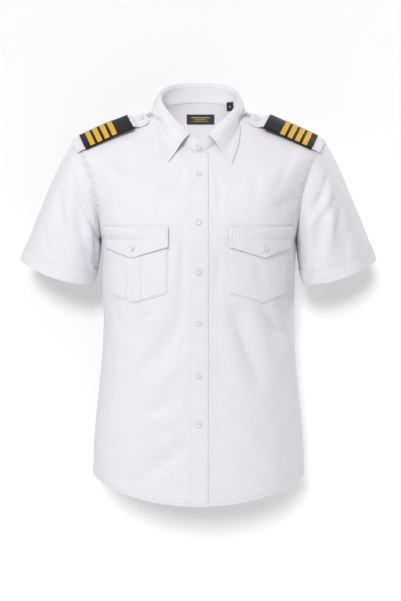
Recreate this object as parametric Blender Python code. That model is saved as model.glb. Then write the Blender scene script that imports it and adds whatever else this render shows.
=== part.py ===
"""A short-sleeved pilot shirt, filled out as if worn on an unseen general figure.

Every cut and sewn piece is its own wall of cloth: two fronts, placket, back, yoke, sleeves, collar
stand, collar leaf, pockets with pleats and flaps, shoulder straps, rank slides with four bars, two
labels and the buttons. All surfaces are lofted through rows that run from the middle of the body to
its side, and whatever lies on a panel is made from that panel's own points, moved out.

The frame is in metres with +Z up and the front facing -Y. The origin is the middle of the neck, level
with the two points where the shoulder seams meet the collar.
"""

import math
from collections import namedtuple

import bmesh
import bpy
import numpy as np
from mathutils import Vector
from mathutils.bvhtree import BVHTree

for old in list(bpy.data.objects):
    bpy.data.objects.remove(old, do_unlink=True)
SHIRT = bpy.data.collections.new("pilot_shirt")
bpy.context.scene.collection.children.link(SHIRT)

MM = 0.001

# Cloth, in millimetres
CLOTH = 1.2
HEM_EXTRA = 0.8
SEAM_GAP = 0.4
LAYER_GAP = 0.5
PLACKET_WALL = 1.4
POCKET_LIFT = 1.1
PLEAT_WALL = 1.0
FLAP_WALL = 1.4
STAND_WALL = 1.6
STRAP_WALL = 1.2

# Torso sampling: rows up the side seam, round the armhole and along the shoulder, columns across
SIDE_ROWS = 19
ARMHOLE_ROWS = 12
SHOULDER_ROWS = 4
FRONT_COLUMNS = 13
BACK_COLUMNS = 11
YOKE_SEAM = 1.75
UNDER_LAP = -12.0
OVER_LAP = 13.4

# Placket and buttons
PLACKET_LEFT = -18.6
PLACKET_RIGHT = 17.8
BUTTON_DIAMETER = 11.5
BUTTON_THICKNESS = 2.4
BUTTON_HOLE_SPACING = 2.8
BUTTON_HOLE = 1.3
BUTTON_CLEARANCE = 0.4
BUTTON_X = -0.5
SPREAD = 7.0
BUTTON_HEIGHTS = (-119.0, -206.0, -294.0, -386.5, -481.0, -569.0)
COLLAR_BUTTON_HEIGHT = -70.0

# Chest pockets: distances from the middle line along the cloth, and heights
POCKET_INNER = 55.5
POCKET_WIDTH = 130.0
POCKET_TOP = -219.0
POCKET_CORNER = -334.0
POCKET_POINT = -352.5
FLAP_TOP = -213.5
FLAP_CORNER = -250.5
FLAP_POINT = -270.0
FLAP_OVERHANG = 1.5
FLAP_FLARE = 4.0
PLEAT_WIDTH = 32.5
FLAP_BUTTON_HEIGHT = -252.5

# Shoulder straps and rank slides, measured along the strap from the sleeve seam
STRAP_LENGTH = 152.0
STRAP_WIDTH_OUTER = 50.0
STRAP_WIDTH_INNER = 42.0
STRAP_CENTRE_DROP = 21.0
STRAP_CENTRE_RISE = 13.0
STRAP_BUTTON_FROM_TIP = 15.0
SLIDE_START = 18.0
SLIDE_LENGTH = 96.0
SLIDE_WIDTH = 54.0
SLIDE_WALL = 1.0
STRAP_LIFT = 0.8
SLIDE_LIFT = 1.6
SLIDE_TILT = 5.5
STRAP_TILT = 0.62
BAR_LIFT = 0.6
BAR_COUNT = 4
BAR_WIDTH = 9.2
BAR_GAP = 5.4
BAR_MARGIN = 11.0
BAR_THICKNESS = 0.8

# Labels inside the back of the neck
NECK_LABEL = (52.0, 18.0)
NECK_LABEL_AT = (3.5, -13.5)
SIZE_TAG = (16.0, 17.0)
SIZE_TAG_TURN = 1.04
SIZE_TAG_TOP = 17.0
SIZE_TAG_RADIUS = 66.0
NECK_CENTRE_Y = -4.0
LABEL_THICKNESS = 0.8

# Colours, read by eye from the photograph
WHITE_CLOTH = (0.86, 0.86, 0.89)
BLACK_CLOTH = (0.012, 0.012, 0.014)
GOLD_BRAID = (0.78, 0.50, 0.12)
PEARL = (0.83, 0.83, 0.85)

# Rows of one half of the torso. v is 0 at the hem, 1 at the underarm, 2 at the shoulder tip and 3 at
# the neck. middle_y and middle_z give the row's point on the middle line, reach is the length of the
# handle that leaves it squarely, and turn_x, turn_y and turn_z are the handle that arrives at the edge.
Row = namedtuple("Row", "v middle_y middle_z reach turn_x turn_y turn_z")

FRONT_ROWS = (
    Row(0.00, -130.0, -718.0, 128, 0, 82, 0),
    Row(0.14, -127.5, -648.0, 127, 0, 80, 0),
    Row(0.30, -124.0, -576.0, 122, 0, 78, 0),
    Row(0.46, -121.5, -496.0, 117, 0, 76, 0),
    Row(0.63, -121.5, -411.0, 115, 0, 77, 0),
    Row(0.81, -126.5, -325.0, 119, 0, 80, 0),
    Row(1.00, -131.0, -240.0, 124, 2, 82, 0),
    Row(1.14, -129.5, -224.0, 124, 10, 66, 2),
    Row(1.30, -127.0, -208.0, 122, 25, 52, 4),
    Row(1.47, -122.0, -190.0, 120, 43, 44, 6),
    Row(1.64, -115.5, -170.0, 118, 53, 42, 6),
    Row(1.82, -107.0, -149.0, 114, 55, 44, 6),
    Row(2.00, -98.5, -130.0, 106, 50, 48, 4),
    Row(2.33, -91.0, -115.0, 80, 22, 46, 12),
    Row(2.66, -82.5, -100.0, 54, 10, 38, 22),
    Row(3.00, -70.0, -80.0, 24, 8, 30, 28),
)

BACK_ROWS = (
    Row(0.00, 126.0, -720.0, 128, 0, -80, 0),
    Row(0.14, 122.0, -650.0, 127, 0, -78, 0),
    Row(0.30, 117.0, -577.0, 122, 0, -75, 0),
    Row(0.46, 112.5, -497.0, 117, 0, -72, 0),
    Row(0.63, 113.5, -412.0, 116, 0, -73, 0),
    Row(0.81, 119.0, -326.0, 119, 0, -77, 0),
    Row(1.00, 124.0, -241.0, 124, 2, -80, 0),
    Row(1.14, 124.5, -215.0, 124, 10, -66, 2),
    Row(1.30, 124.0, -186.0, 122, 26, -52, 2),
    Row(1.47, 120.5, -155.0, 120, 44, -44, 0),
    Row(1.64, 114.0, -122.0, 118, 54, -42, -4),
    Row(1.82, 103.5, -86.0, 112, 54, -44, -14),
    Row(2.00, 91.0, -50.0, 100, 42, -46, -26),
    Row(2.33, 80.5, -27.0, 74, 14, -42, -18),
    Row(2.66, 70.5, -5.0, 48, 2, -34, -12),
    Row(3.00, 60.0, 17.0, 34, -8, -30, -12),
)

# The edges that panels share: the side seam, the armhole's two halves and the shoulder seam
Edge = namedtuple("Edge", "v x y z")

SIDE_SEAM = (
    Edge(0.00, 197.8, 2.0, -673.5),
    Edge(0.14, 195.0, 2.0, -612.0),
    Edge(0.30, 189.0, 2.0, -545.0),
    Edge(0.46, 181.5, 2.0, -472.0),
    Edge(0.63, 177.0, 2.0, -396.0),
    Edge(0.81, 179.0, 3.0, -318.0),
    Edge(1.00, 181.0, 4.0, -236.0),
)
ARMHOLE_FRONT = (
    Edge(1.00, 181.0, 4.0, -236.0),
    Edge(1.14, 181.8, -27.0, -221.0),
    Edge(1.30, 185.0, -47.0, -192.0),
    Edge(1.47, 191.5, -57.0, -153.0),
    Edge(1.64, 203.0, -54.0, -115.0),
    Edge(1.82, 219.0, -37.0, -79.0),
    Edge(2.00, 234.0, -4.0, -58.0),
)
ARMHOLE_BACK = (
    Edge(1.00, 181.0, 4.0, -236.0),
    Edge(1.14, 182.5, 34.0, -222.0),
    Edge(1.30, 187.0, 56.0, -192.0),
    Edge(1.47, 195.0, 64.0, -154.0),
    Edge(1.64, 206.0, 60.0, -115.0),
    Edge(1.82, 220.5, 40.0, -78.0),
    Edge(2.00, 234.0, -4.0, -58.0),
)
SHOULDER_SEAM = (
    Edge(2.00, 234.0, -4.0, -58.0),
    Edge(2.33, 181.0, -6.0, -40.0),
    Edge(2.66, 128.0, -6.0, -21.0),
    Edge(3.00, 74.0, -3.0, -1.0),
)

# Soft folds, seen square on: from one end to the other, half width and rise above the cloth
Fold = namedtuple("Fold", "x0 z0 x1 z1 half_width rise")

FRONT_FOLDS = (
    Fold(-24.0, -360.0, -130.0, -515.0, 16.0, -4.2),
    Fold(-48.0, -345.0, -150.0, -470.0, 13.0, 2.4),
    Fold(-24.0, -440.0, -120.0, -548.0, 14.0, 2.8),
    Fold(-34.0, -520.0, -130.0, -578.0, 13.0, -3.4),
    Fold(-24.0, -560.0, -140.0, -628.0, 12.0, 2.6),
    Fold(-24.0, -595.0, -122.0, -678.0, 14.0, -4.8),
    Fold(66.0, -378.0, 108.0, -488.0, 13.0, -4.4),
    Fold(44.0, -385.0, 82.0, -515.0, 13.0, 2.2),
    Fold(98.0, -372.0, 142.0, -480.0, 12.0, 2.4),
    Fold(118.0, -364.0, 160.0, -420.0, 11.0, -4.0),
    Fold(150.0, -350.0, 170.0, -404.0, 10.0, -2.6),
    Fold(148.0, -440.0, 168.0, -570.0, 12.0, 2.2),
    Fold(60.0, -560.0, 130.0, -640.0, 15.0, 1.8),
    Fold(152.0, -92.0, 147.0, -165.0, 11.0, -2.8),
    Fold(170.0, -168.0, 140.0, -178.0, 10.0, -2.4),
    Fold(-174.0, -190.0, -148.0, -168.0, 10.0, -2.2),
    Fold(-140.0, -80.0, -120.0, -150.0, 14.0, -1.4),
)
BACK_FOLDS = (
    Fold(-60.0, -160.0, -95.0, -330.0, 16.0, 2.2),
    Fold(66.0, -165.0, 90.0, -345.0, 17.0, 2.0),
    Fold(-30.0, -430.0, -150.0, -500.0, 14.0, -2.4),
    Fold(24.0, -445.0, 155.0, -480.0, 15.0, -2.2),
    Fold(-20.0, -560.0, -120.0, -620.0, 15.0, 2.0),
    Fold(40.0, -540.0, 120.0, -640.0, 14.0, 2.0),
    Fold(128.0, -360.0, 160.0, -440.0, 12.0, -2.4),
    Fold(-132.0, -350.0, -158.0, -430.0, 11.0, -2.2),
)
FOLD_EDGE_FADE = 22.0

# Sleeve: the hem's ring, and how the cloth leaves the armhole and reaches the hem. around is 0 at the
# shoulder tip, 0.25 at the front, 0.5 at the underarm and 0.75 at the back.
SLEEVE_HEM_CENTRE = (263.0, 9.0, -295.5)
SLEEVE_HEM_OUT = (68.5, -1.0, 20.0)
SLEEVE_HEM_FRONT = (-8.0, -63.0, -17.0)
SLEEVE_HEM_HEIGHT = 26.0
SLEEVE_ROWS = 8
SleeveLine = namedtuple("SleeveLine", "around leave_x leave_y leave_z arrive_x arrive_y arrive_z")
SLEEVE_LINES = (
    SleeveLine(0.00, 105, 0, -170, 70, 4, -175),
    SleeveLine(0.12, 118, -40, -150, 66, 4, -160),
    SleeveLine(0.25, 88, -38, -105, 70, -2, -125),
    SleeveLine(0.38, 30, -22, -76, 44, 6, -86),
    SleeveLine(0.50, 4, 4, -62, 34, 4, -78),
    SleeveLine(0.62, 30, 26, -76, 44, 4, -82),
    SleeveLine(0.75, 88, 42, -105, 70, 4, -115),
    SleeveLine(0.88, 118, 40, -150, 66, 4, -150),
    SleeveLine(1.00, 105, 0, -170, 70, 4, -175),
)
# Sleeve folds: place round the sleeve and share of its length, at each end
SleeveFold = namedtuple("SleeveFold", "around0 down0 around1 down1 half_width rise")
SLEEVE_FOLDS = (
    SleeveFold(0.19, 0.20, 0.40, 0.86, 11.0, -5.0),
    SleeveFold(0.35, 0.24, 0.45, 0.76, 10.0, -3.2),
    SleeveFold(0.29, 0.16, 0.38, 0.56, 10.0, 2.6),
    SleeveFold(0.15, 0.28, 0.27, 0.76, 12.0, 3.0),
    SleeveFold(0.09, 0.26, 0.21, 0.86, 12.0, -2.2),
    SleeveFold(0.76, 0.16, 0.62, 0.82, 12.0, -3.4),
    SleeveFold(0.86, 0.24, 0.76, 0.76, 12.0, 2.4),
)

# Collar, from the front end of the stand round to the middle of the back. along is 1 at the front
# end and 0 at the back. The fold is the collar's top line, the fall is the leaf's free edge.
CollarKey = namedtuple("CollarKey", "along fold_x fold_y fold_z fall_x fall_y fall_z")
COLLAR_KEYS = (
    CollarKey(0.00, 0.0, 55.0, 50.8, 0.0, 73.0, 7.0),
    CollarKey(0.14, 27.0, 52.5, 50.4, 35.0, 69.0, 5.5),
    CollarKey(0.28, 50.0, 40.0, 46.4, 63.0, 54.0, 3.8),
    CollarKey(0.42, 65.5, 17.0, 36.6, 81.5, 25.0, 0.4),
    CollarKey(0.56, 67.5, -8.0, 22.4, 88.0, -7.0, -8.0),
    CollarKey(0.70, 58.5, -30.0, 2.2, 86.5, -34.0, -24.0),
    CollarKey(0.84, 38.5, -49.5, -23.5, 73.0, -64.0, -59.0),
    CollarKey(1.00, 15.5, -64.0, -49.0, 56.5, -91.0, -99.0),
)
COLLAR_COLUMNS = 21
LEAF_ROWS = 5
LEAF_WALL = 1.6
LEAF_ROLL = 3.2
STAND_OVER_END = 17.0
STAND_UNDER_END = 14.0
STAND_TOP_DROP = 4.3
STAND_LIFT = 0.7
STAND_STEP = 2.1
STAND_FRONT = (0.0, -3.0, -56.0)
STAND_LEAF_SHARE = 0.93
LEAF_CLEARANCE = 1.3
TIP_SHIFT_RIGHT = (3.2, 0.0, -4.0)
TIP_SHIFT_LEFT = (-3.4, 0.0, 2.6)


def smooth(t):
    """Eases from 0 to 1 with no corner at either end."""
    t = np.clip(t, 0.0, 1.0)
    return t * t * (3.0 - 2.0 * t)


def unit(vectors):
    """Each vector at a length of 1."""
    vectors = np.asarray(vectors, float)
    return vectors / np.maximum(np.linalg.norm(vectors, axis=-1, keepdims=True), 1e-12)


def curve_through(keys, values, at):
    """A smooth curve through values at keys, read at the places in at."""
    keys = np.asarray(keys, float)
    values = np.asarray(values, float)
    at = np.asarray(at, float)
    steps = np.diff(values, axis=0) / np.diff(keys)[:, None]
    slopes = np.vstack([steps[:1], (steps[1:] + steps[:-1]) / 2.0, steps[-1:]])
    i = np.clip(np.searchsorted(keys, at, side="right") - 1, 0, len(keys) - 2)
    span = (keys[i + 1] - keys[i])[..., None]
    t = ((at - keys[i])[..., None]) / span
    return (
        (1 + 2 * t) * (1 - t) ** 2 * values[i]
        + t * (1 - t) ** 2 * span * slopes[i]
        + t * t * (3 - 2 * t) * values[i + 1]
        + t * t * (t - 1) * span * slopes[i + 1]
    )


def table_curve(table, at):
    """The columns of a named table, after its first, as smooth curves of the first."""
    return curve_through([row[0] for row in table], [row[1:] for row in table], at)


def edge_point(v, armhole):
    """The outer edge of a half panel at height v: side seam, then armhole, then shoulder seam."""
    if v <= 1.0:
        return table_curve(SIDE_SEAM, v)
    if v <= 2.0:
        return table_curve(armhole, v)
    return table_curve(SHOULDER_SEAM, v)


def row_curve(rows, armhole, v, samples=61):
    """One row as points from the middle line to the edge, with the length along it at each."""
    middle_y, middle_z, reach, *turn = table_curve(rows, v)
    start = np.array([0.0, middle_y, middle_z])
    end = edge_point(v, armhole)
    handles = start, start + (reach, 0, 0), end - turn, end
    t = np.linspace(0.0, 1.0, samples)[:, None]
    weights = (1 - t) ** 3, 3 * t * (1 - t) ** 2, 3 * t * t * (1 - t), t**3
    points = sum(w * h for w, h in zip(weights, handles))
    lengths = np.concatenate([[0.0], np.cumsum(np.linalg.norm(np.diff(points, axis=0), axis=1))])
    return points, lengths


def row_at(rows, armhole, v, along):
    """Points of row v at these lengths from the middle line. Below 0 the row goes on past the middle."""
    points, lengths = row_curve(rows, armhole, v)
    along = np.asarray(along, float)
    found = [np.interp(np.abs(along), lengths, points[:, i]) for i in range(3)]
    return np.stack([found[0] * np.sign(along), found[1], found[2]], axis=-1)


def row_length(rows, armhole, v):
    """The length of row v from the middle line to the edge."""
    return row_curve(rows, armhole, v)[1][-1]


def grid_normals(points, outward, closed=False):
    """Unit normals of a grid of points, on the side that outward points to on the whole."""
    across = np.gradient(points, axis=1)
    if closed:
        across = np.roll(points, -1, axis=1) - np.roll(points, 1, axis=1)
    normals = unit(np.cross(across, np.gradient(points, axis=0)))
    return normals * (1.0 if np.sum(normals * outward) > 0 else -1.0)


def fold_rise(folds, points):
    """How far a set of folds lifts the cloth at these points, in the plane that faces the viewer."""
    rise = np.zeros(points.shape[:-1])
    for fold in folds:
        start = np.array([fold.x0, fold.z0])
        span = np.array([fold.x1, fold.z1]) - start
        offset = points[..., [0, 2]] - start
        t = np.clip(offset @ span / (span @ span), 0.0, 1.0)
        away = np.linalg.norm(offset - t[..., None] * span, axis=-1)
        taper = 0.35 + 0.65 * np.sin(np.pi * (0.12 + 0.76 * t))
        rise += fold.rise * taper * np.exp(-((away / fold.half_width) ** 2))
    return rise


def add_object(name, verts, faces, material):
    """Makes one closed piece of the shirt from points in millimetres."""
    mesh = bpy.data.meshes.new(name)
    mesh.from_pydata([tuple(MM * float(c) for c in p) for p in verts], [], faces)
    work = bmesh.new()
    work.from_mesh(mesh)
    bmesh.ops.recalc_face_normals(work, faces=work.faces)
    work.to_mesh(mesh)
    work.free()
    mesh.shade_smooth()
    mesh.set_sharp_from_angle(angle=math.radians(40.0))
    mesh.materials.append(material)
    obj = bpy.data.objects.new(name, mesh)
    SHIRT.objects.link(obj)
    return obj


def wall(name, outer, inner, material, closed=False):
    """A cloth wall between two grids of points. closed joins the last column to the first, as in a tube."""
    rows, columns = outer.shape[:2]
    verts = list(outer.reshape(-1, 3)) + list(inner.reshape(-1, 3))
    shift = rows * columns
    last = columns if closed else columns - 1
    faces = []
    for i in range(rows - 1):
        for j in range(last):
            k = (j + 1) % columns
            a, b, c, d = i * columns + j, i * columns + k, (i + 1) * columns + k, (i + 1) * columns + j
            faces.append((a, b, c, d))
            faces.append((a + shift, d + shift, c + shift, b + shift))
    for j in range(last):
        k = (j + 1) % columns
        for i in (0, rows - 1):
            a, b = i * columns + j, i * columns + k
            faces.append((a, b, b + shift, a + shift) if i else (b, a, a + shift, b + shift))
    if not closed:
        for i in range(rows - 1):
            for j in (0, columns - 1):
                a, b = i * columns + j, (i + 1) * columns + j
                faces.append((b, a, a + shift, b + shift) if j else (a, b, b + shift, a + shift))
    return add_object(name, verts, faces, material)


def pull_border_in(points, sides, amount):
    """Moves whole borders of a grid towards the row or column beside them."""
    points = points.copy()
    borders = {
        "bottom": ((0,), (1,)),
        "top": ((-1,), (-2,)),
        "left": ((slice(None), 0), (slice(None), 1)),
        "right": ((slice(None), -1), (slice(None), -2)),
    }
    for side in sides:
        edge, inside = borders[side]
        points[edge] = points[edge] + amount * unit(points[inside] - points[edge])
    return points


def half_v_rows(low=0.0, high=3.0):
    """Heights of a panel's rows, the same for every panel, so that seams share their points."""
    every = np.concatenate([
        np.linspace(0.0, 1.0, SIDE_ROWS + 1),
        np.linspace(1.0, 2.0, ARMHOLE_ROWS + 1)[1:],
        np.linspace(2.0, 3.0, SHOULDER_ROWS + 1)[1:],
    ])
    kept = [v for v in every if low + 1e-6 < v < high - 1e-6]
    return np.array([low, *kept, high])


def seam_fade(grid):
    """1 inside a panel and 0 at its outer edge and top."""
    across = np.linalg.norm(np.diff(grid, axis=1), axis=2)
    up = np.linalg.norm(np.diff(grid, axis=0), axis=2)
    rest = np.cumsum(across[:, ::-1], axis=1)[:, ::-1]
    to_edge = np.concatenate([rest, np.zeros((len(grid), 1))], axis=1)
    rest = np.cumsum(up[::-1], axis=0)[::-1]
    to_top = np.concatenate([rest, np.zeros((1, grid.shape[1]))], axis=0)
    return smooth(to_edge / FOLD_EDGE_FADE) * smooth(to_top / FOLD_EDGE_FADE)


def front_surface(side):
    """A front panel as points and normals. Its first column lies under the placket."""
    first = [OVER_LAP] if side > 0 else [UNDER_LAP, 0.0, 11.0]
    rows = []
    for v in half_v_rows():
        length = row_length(FRONT_ROWS, ARMHOLE_FRONT, v)
        along = np.concatenate([first, np.linspace(22.0, length, FRONT_COLUMNS)])
        rows.append(row_at(FRONT_ROWS, ARMHOLE_FRONT, v, along))
    points = np.array(rows) * (side, 1, 1)
    normals = grid_normals(points, (0.3 * side, -1.0, 0.2))
    fade = seam_fade(points) * smooth((np.abs(points[..., 0]) - 19.0) / FOLD_EDGE_FADE)
    lift = fold_rise(FRONT_FOLDS, points) * fade
    return points + lift[..., None] * normals, normals


def back_surface(low, high):
    """The back or the yoke, one piece from one side to the other, as points and normals."""
    rows = []
    for v in half_v_rows(low, high):
        length = row_length(BACK_ROWS, ARMHOLE_BACK, v)
        half = row_at(BACK_ROWS, ARMHOLE_BACK, v, np.linspace(0.0, length, BACK_COLUMNS + 1))
        rows.append(np.vstack([half[:0:-1] * (-1, 1, 1), half]))
    points = np.array(rows)
    normals = grid_normals(points, (0.0, 1.0, 0.3))
    fade = seam_fade(points[:, BACK_COLUMNS:])
    fade = np.concatenate([fade[:, :0:-1], fade], axis=1)
    if low > 0.0:
        return points, normals
    lift = fold_rise(BACK_FOLDS, points) * fade
    return points + lift[..., None] * normals, normals


def sleeve_surface(side):
    """A sleeve as rings from the armhole to the hem, with normals."""
    loop = half_v_rows(1.0, 2.0)
    around = np.concatenate([(2.0 - loop[::-1]) / 2.0, loop[1:-1] / 2.0])
    armhole = [edge_point(v, ARMHOLE_FRONT) for v in loop[::-1]]
    armhole += [edge_point(v, ARMHOLE_BACK) for v in loop[1:-1]]
    armhole = np.array(armhole)
    lines = table_curve(SLEEVE_LINES, around)
    turn = 2.0 * math.pi * around[:, None]
    hem = (
        np.array(SLEEVE_HEM_CENTRE)
        + np.cos(turn) * np.array(SLEEVE_HEM_OUT)
        + np.sin(turn) * np.array(SLEEVE_HEM_FRONT)
    )
    leave, arrive = armhole + lines[:, :3] / 3.0, hem - lines[:, 3:] / 3.0
    hem_share = SLEEVE_HEM_HEIGHT / np.linalg.norm(hem - armhole, axis=1)
    shares = [(1.0 - hem_share) * k / SLEEVE_ROWS for k in range(SLEEVE_ROWS + 1)]
    shares.append(np.ones(len(around)))

    def ring(t):
        t = t[:, None]
        return (1 - t) ** 3 * armhole + 3 * t * (1 - t) ** 2 * leave + 3 * t * t * (1 - t) * arrive + t**3 * hem

    plain = np.array([ring(t) for t in shares])
    normals = grid_normals(plain, plain - plain.mean(axis=1, keepdims=True), closed=True)
    down = np.array(shares)
    lift = np.zeros(down.shape)
    for fold in SLEEVE_FOLDS:
        steps = np.linspace(0.0, 1.0, 25)
        place = fold.around0 + (fold.around1 - fold.around0) * steps + (0.015 if side < 0 else 0.0)
        depth = fold.down0 + (fold.down1 - fold.down0) * steps
        path = np.array([
            [np.interp(p, around, np.array([np.interp(d, down[:, j], plain[:, j, i])
                                            for j in range(len(around))])) for i in range(3)]
            for p, d in zip(place, depth)
        ])
        away = np.linalg.norm(plain[:, :, None] - path, axis=-1)
        nearest = np.argmin(away, axis=-1)
        taper = 0.3 + 0.7 * np.sin(np.pi * (0.1 + 0.8 * steps[nearest]))
        lift += fold.rise * taper * np.exp(-((away.min(axis=-1) / fold.half_width) ** 2))
    lift *= smooth(down / 0.14)
    points = plain + lift[..., None] * normals
    return points * (side, 1, 1), normals * (side, 1, 1)


def share_normals(surfaces):
    """Gives surfaces the same normal wherever they share a point, so that their edges stand parallel."""
    sums = {}
    for points, normals in surfaces:
        for p, n in zip(points.reshape(-1, 3), normals.reshape(-1, 3)):
            key = tuple(np.round(p, 2))
            sums[key] = sums.get(key, 0.0) + n
    for points, normals in surfaces:
        flat = normals.reshape(-1, 3)
        for i, p in enumerate(points.reshape(-1, 3)):
            flat[i] = unit(sums[tuple(np.round(p, 2))])


def tree_of(*grids):
    """A search tree over grids of points."""
    verts, faces = [], []
    for grid in grids:
        rows, columns = grid.shape[:2]
        first = len(verts)
        verts += [Vector(p) for p in grid.reshape(-1, 3)]
        for i in range(rows - 1):
            for j in range(columns - 1):
                a = first + i * columns + j
                faces.append((a, a + 1, a + columns + 1, a + columns))
    return BVHTree.FromPolygons(verts, faces)


def drop(tree, point, direction):
    """Where a line from point in this direction first meets the tree, and the surface's normal there."""
    place, normal, _, _ = tree.ray_cast(Vector(point), Vector(direction))
    if place is None:
        place, normal, _, _ = tree.find_nearest(Vector(point))
    normal = np.array(normal)
    if normal @ np.asarray(direction, float) > 0:
        normal = -normal
    return np.array(place), normal


def rest_on(tree, points, clearance, outward):
    """Points moved out wherever they are closer to the tree's surface than clearance."""
    moved = points.copy()
    for index in np.ndindex(points.shape[:-1]):
        place, normal, _, _ = tree.find_nearest(Vector(points[index]))
        normal = np.array(normal)
        if normal @ outward[index] < 0:
            normal = -normal
        height = (points[index] - np.array(place)) @ normal
        if height < clearance:
            moved[index] = points[index] + (clearance - height) * normal
    return moved


class FrontPlaces:
    """Finds points on a front panel by distance from the middle line along the cloth and height."""

    def __init__(self, side, tree):
        self.side = side
        self.tree = tree
        self.rows = np.linspace(0.0, 3.0, 181)

    def at(self, along, z):
        """The panel's point at this distance and height, and its outward normal."""
        points = np.array([row_at(FRONT_ROWS, ARMHOLE_FRONT, v, [along])[0] for v in self.rows[::3]])
        v = np.interp(z, points[:, 2], self.rows[::3])
        point = row_at(FRONT_ROWS, ARMHOLE_FRONT, v, [along])[0]
        near = row_at(FRONT_ROWS, ARMHOLE_FRONT, v, [along + 4.0])[0] - point
        above = row_at(FRONT_ROWS, ARMHOLE_FRONT, v + 0.02, [along])[0] - point
        normal = unit(np.cross(near, above)) * (self.side, 1, 1)
        point = point * (self.side, 1, 1)
        if normal[1] > 0:
            normal = -normal
        near, above = unit(near * (self.side, 1, 1)), unit(above * (self.side, 1, 1))
        height = -20.0
        for a, b in ((0, 0), (SPREAD, 0), (-SPREAD, 0), (0, SPREAD), (0, -SPREAD)):
            place, _ = drop(self.tree, point + a * near + b * above + 20.0 * normal, -normal)
            height = max(height, (place - point) @ normal)
        return point + height * normal, normal

    def grid(self, alongs, heights):
        """Points and normals for rows of heights, with the same distances in each row or its own."""
        alongs = np.broadcast_to(alongs, np.shape(heights))
        pairs = [[self.at(*place) for place in zip(*row)] for row in zip(alongs, heights)]
        return np.array([[p[0] for p in row] for row in pairs]), np.array([[p[1] for p in row] for row in pairs])


def build_shell(surfaces, materials):
    """The body's cloth: fronts, back, yoke and sleeves, with narrow gaps at their seams."""
    sides = {
        "front_left": ("right", "top"), "front_right": ("right", "top"),
        "back": ("left", "right", "top"), "yoke": ("left", "right", "top", "bottom"),
        "sleeve_left": ("bottom",), "sleeve_right": ("bottom",),
    }
    hems = {"yoke": [], "sleeve_left": [-2, -1], "sleeve_right": [-2, -1]}
    for name, (points, normals) in surfaces.items():
        outer = pull_border_in(points, sides[name], SEAM_GAP)
        thickness = np.full(points.shape[:2] + (1,), CLOTH)
        for row in hems.get(name, [0]):
            thickness[row] += HEM_EXTRA
        closed = name.startswith("sleeve")
        wall(name, outer, outer - thickness * normals, materials["white"], closed=closed)


def build_placket(white):
    """The doubled band down the front edge, over both fronts."""
    alongs = (PLACKET_LEFT, 0.0, PLACKET_RIGHT)
    rows = half_v_rows(0.0, 2.93)
    points = np.array([row_at(FRONT_ROWS, ARMHOLE_FRONT, v, alongs) for v in rows])
    normals = grid_normals(points, (0.0, -1.0, 0.2))
    inner = points + LAYER_GAP * normals
    wall("placket", inner + PLACKET_WALL * normals, inner, white)
    return tree_of(inner + PLACKET_WALL * normals)


def build_pocket(name, places, materials):
    """A pocket, its box pleat, its pointed flap and the flap's button."""
    white = materials["white"]
    middle = POCKET_INNER + POCKET_WIDTH / 2.0

    def pointed(alongs, top, corner, point, width, shares):
        near = 1.0 - np.abs(np.asarray(alongs) - middle) / (width / 2.0)
        low = corner + (point - corner) * near
        return [top + (low - top) * s for s in shares]

    def layer(alongs, heights, lifts, thickness, label):
        points, normals = places.grid(alongs, heights)
        inner = points + np.asarray(lifts)[:, None, None] * normals
        wall(label, inner + thickness * normals, inner, white)
        return inner + thickness * normals

    alongs = np.linspace(POCKET_INNER, POCKET_INNER + POCKET_WIDTH, 9)
    shares = np.linspace(0.0, 1.0, 9)
    heights = pointed(alongs, POCKET_TOP, POCKET_CORNER, POCKET_POINT, POCKET_WIDTH, shares)
    layer(alongs, heights, [POCKET_LIFT] * 9, CLOTH, f"pocket_{name}")

    alongs = np.linspace(middle - PLEAT_WIDTH / 2.0, middle + PLEAT_WIDTH / 2.0, 3)
    heights = pointed(alongs, POCKET_TOP, POCKET_CORNER, POCKET_POINT, POCKET_WIDTH, shares)
    heights[0] = heights[0] - np.full(3, 4.0)
    heights[-1] = heights[-1] + np.full(3, 1.2)
    layer(alongs, heights, [POCKET_LIFT + CLOTH + SEAM_GAP] * 9, PLEAT_WALL, f"pocket_pleat_{name}")

    half = POCKET_WIDTH / 2.0 + FLAP_OVERHANG
    alongs = np.linspace(POCKET_INNER, POCKET_INNER + POCKET_WIDTH, 9)
    alongs[[0, -1]] = middle - half, middle + half
    shares = (0.0, 0.14, 0.40, 0.70, 1.0)
    heights = pointed(alongs, FLAP_TOP, FLAP_CORNER, FLAP_POINT, 2 * half, shares)
    alongs = np.tile(alongs, (len(shares), 1))
    alongs[:, -1] += FLAP_FLARE * np.array(shares)
    full = POCKET_LIFT + CLOTH + PLEAT_WALL + 2 * SEAM_GAP + 0.2
    lifts = (POCKET_LIFT, full, full, full, full)
    top = layer(alongs, heights, lifts, FLAP_WALL, f"pocket_flap_{name}")
    point, normal = places.at(middle, FLAP_BUTTON_HEIGHT)
    sew_button(f"flap_button_{name}", tree_of(top), point, normal, materials["button"])


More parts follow.
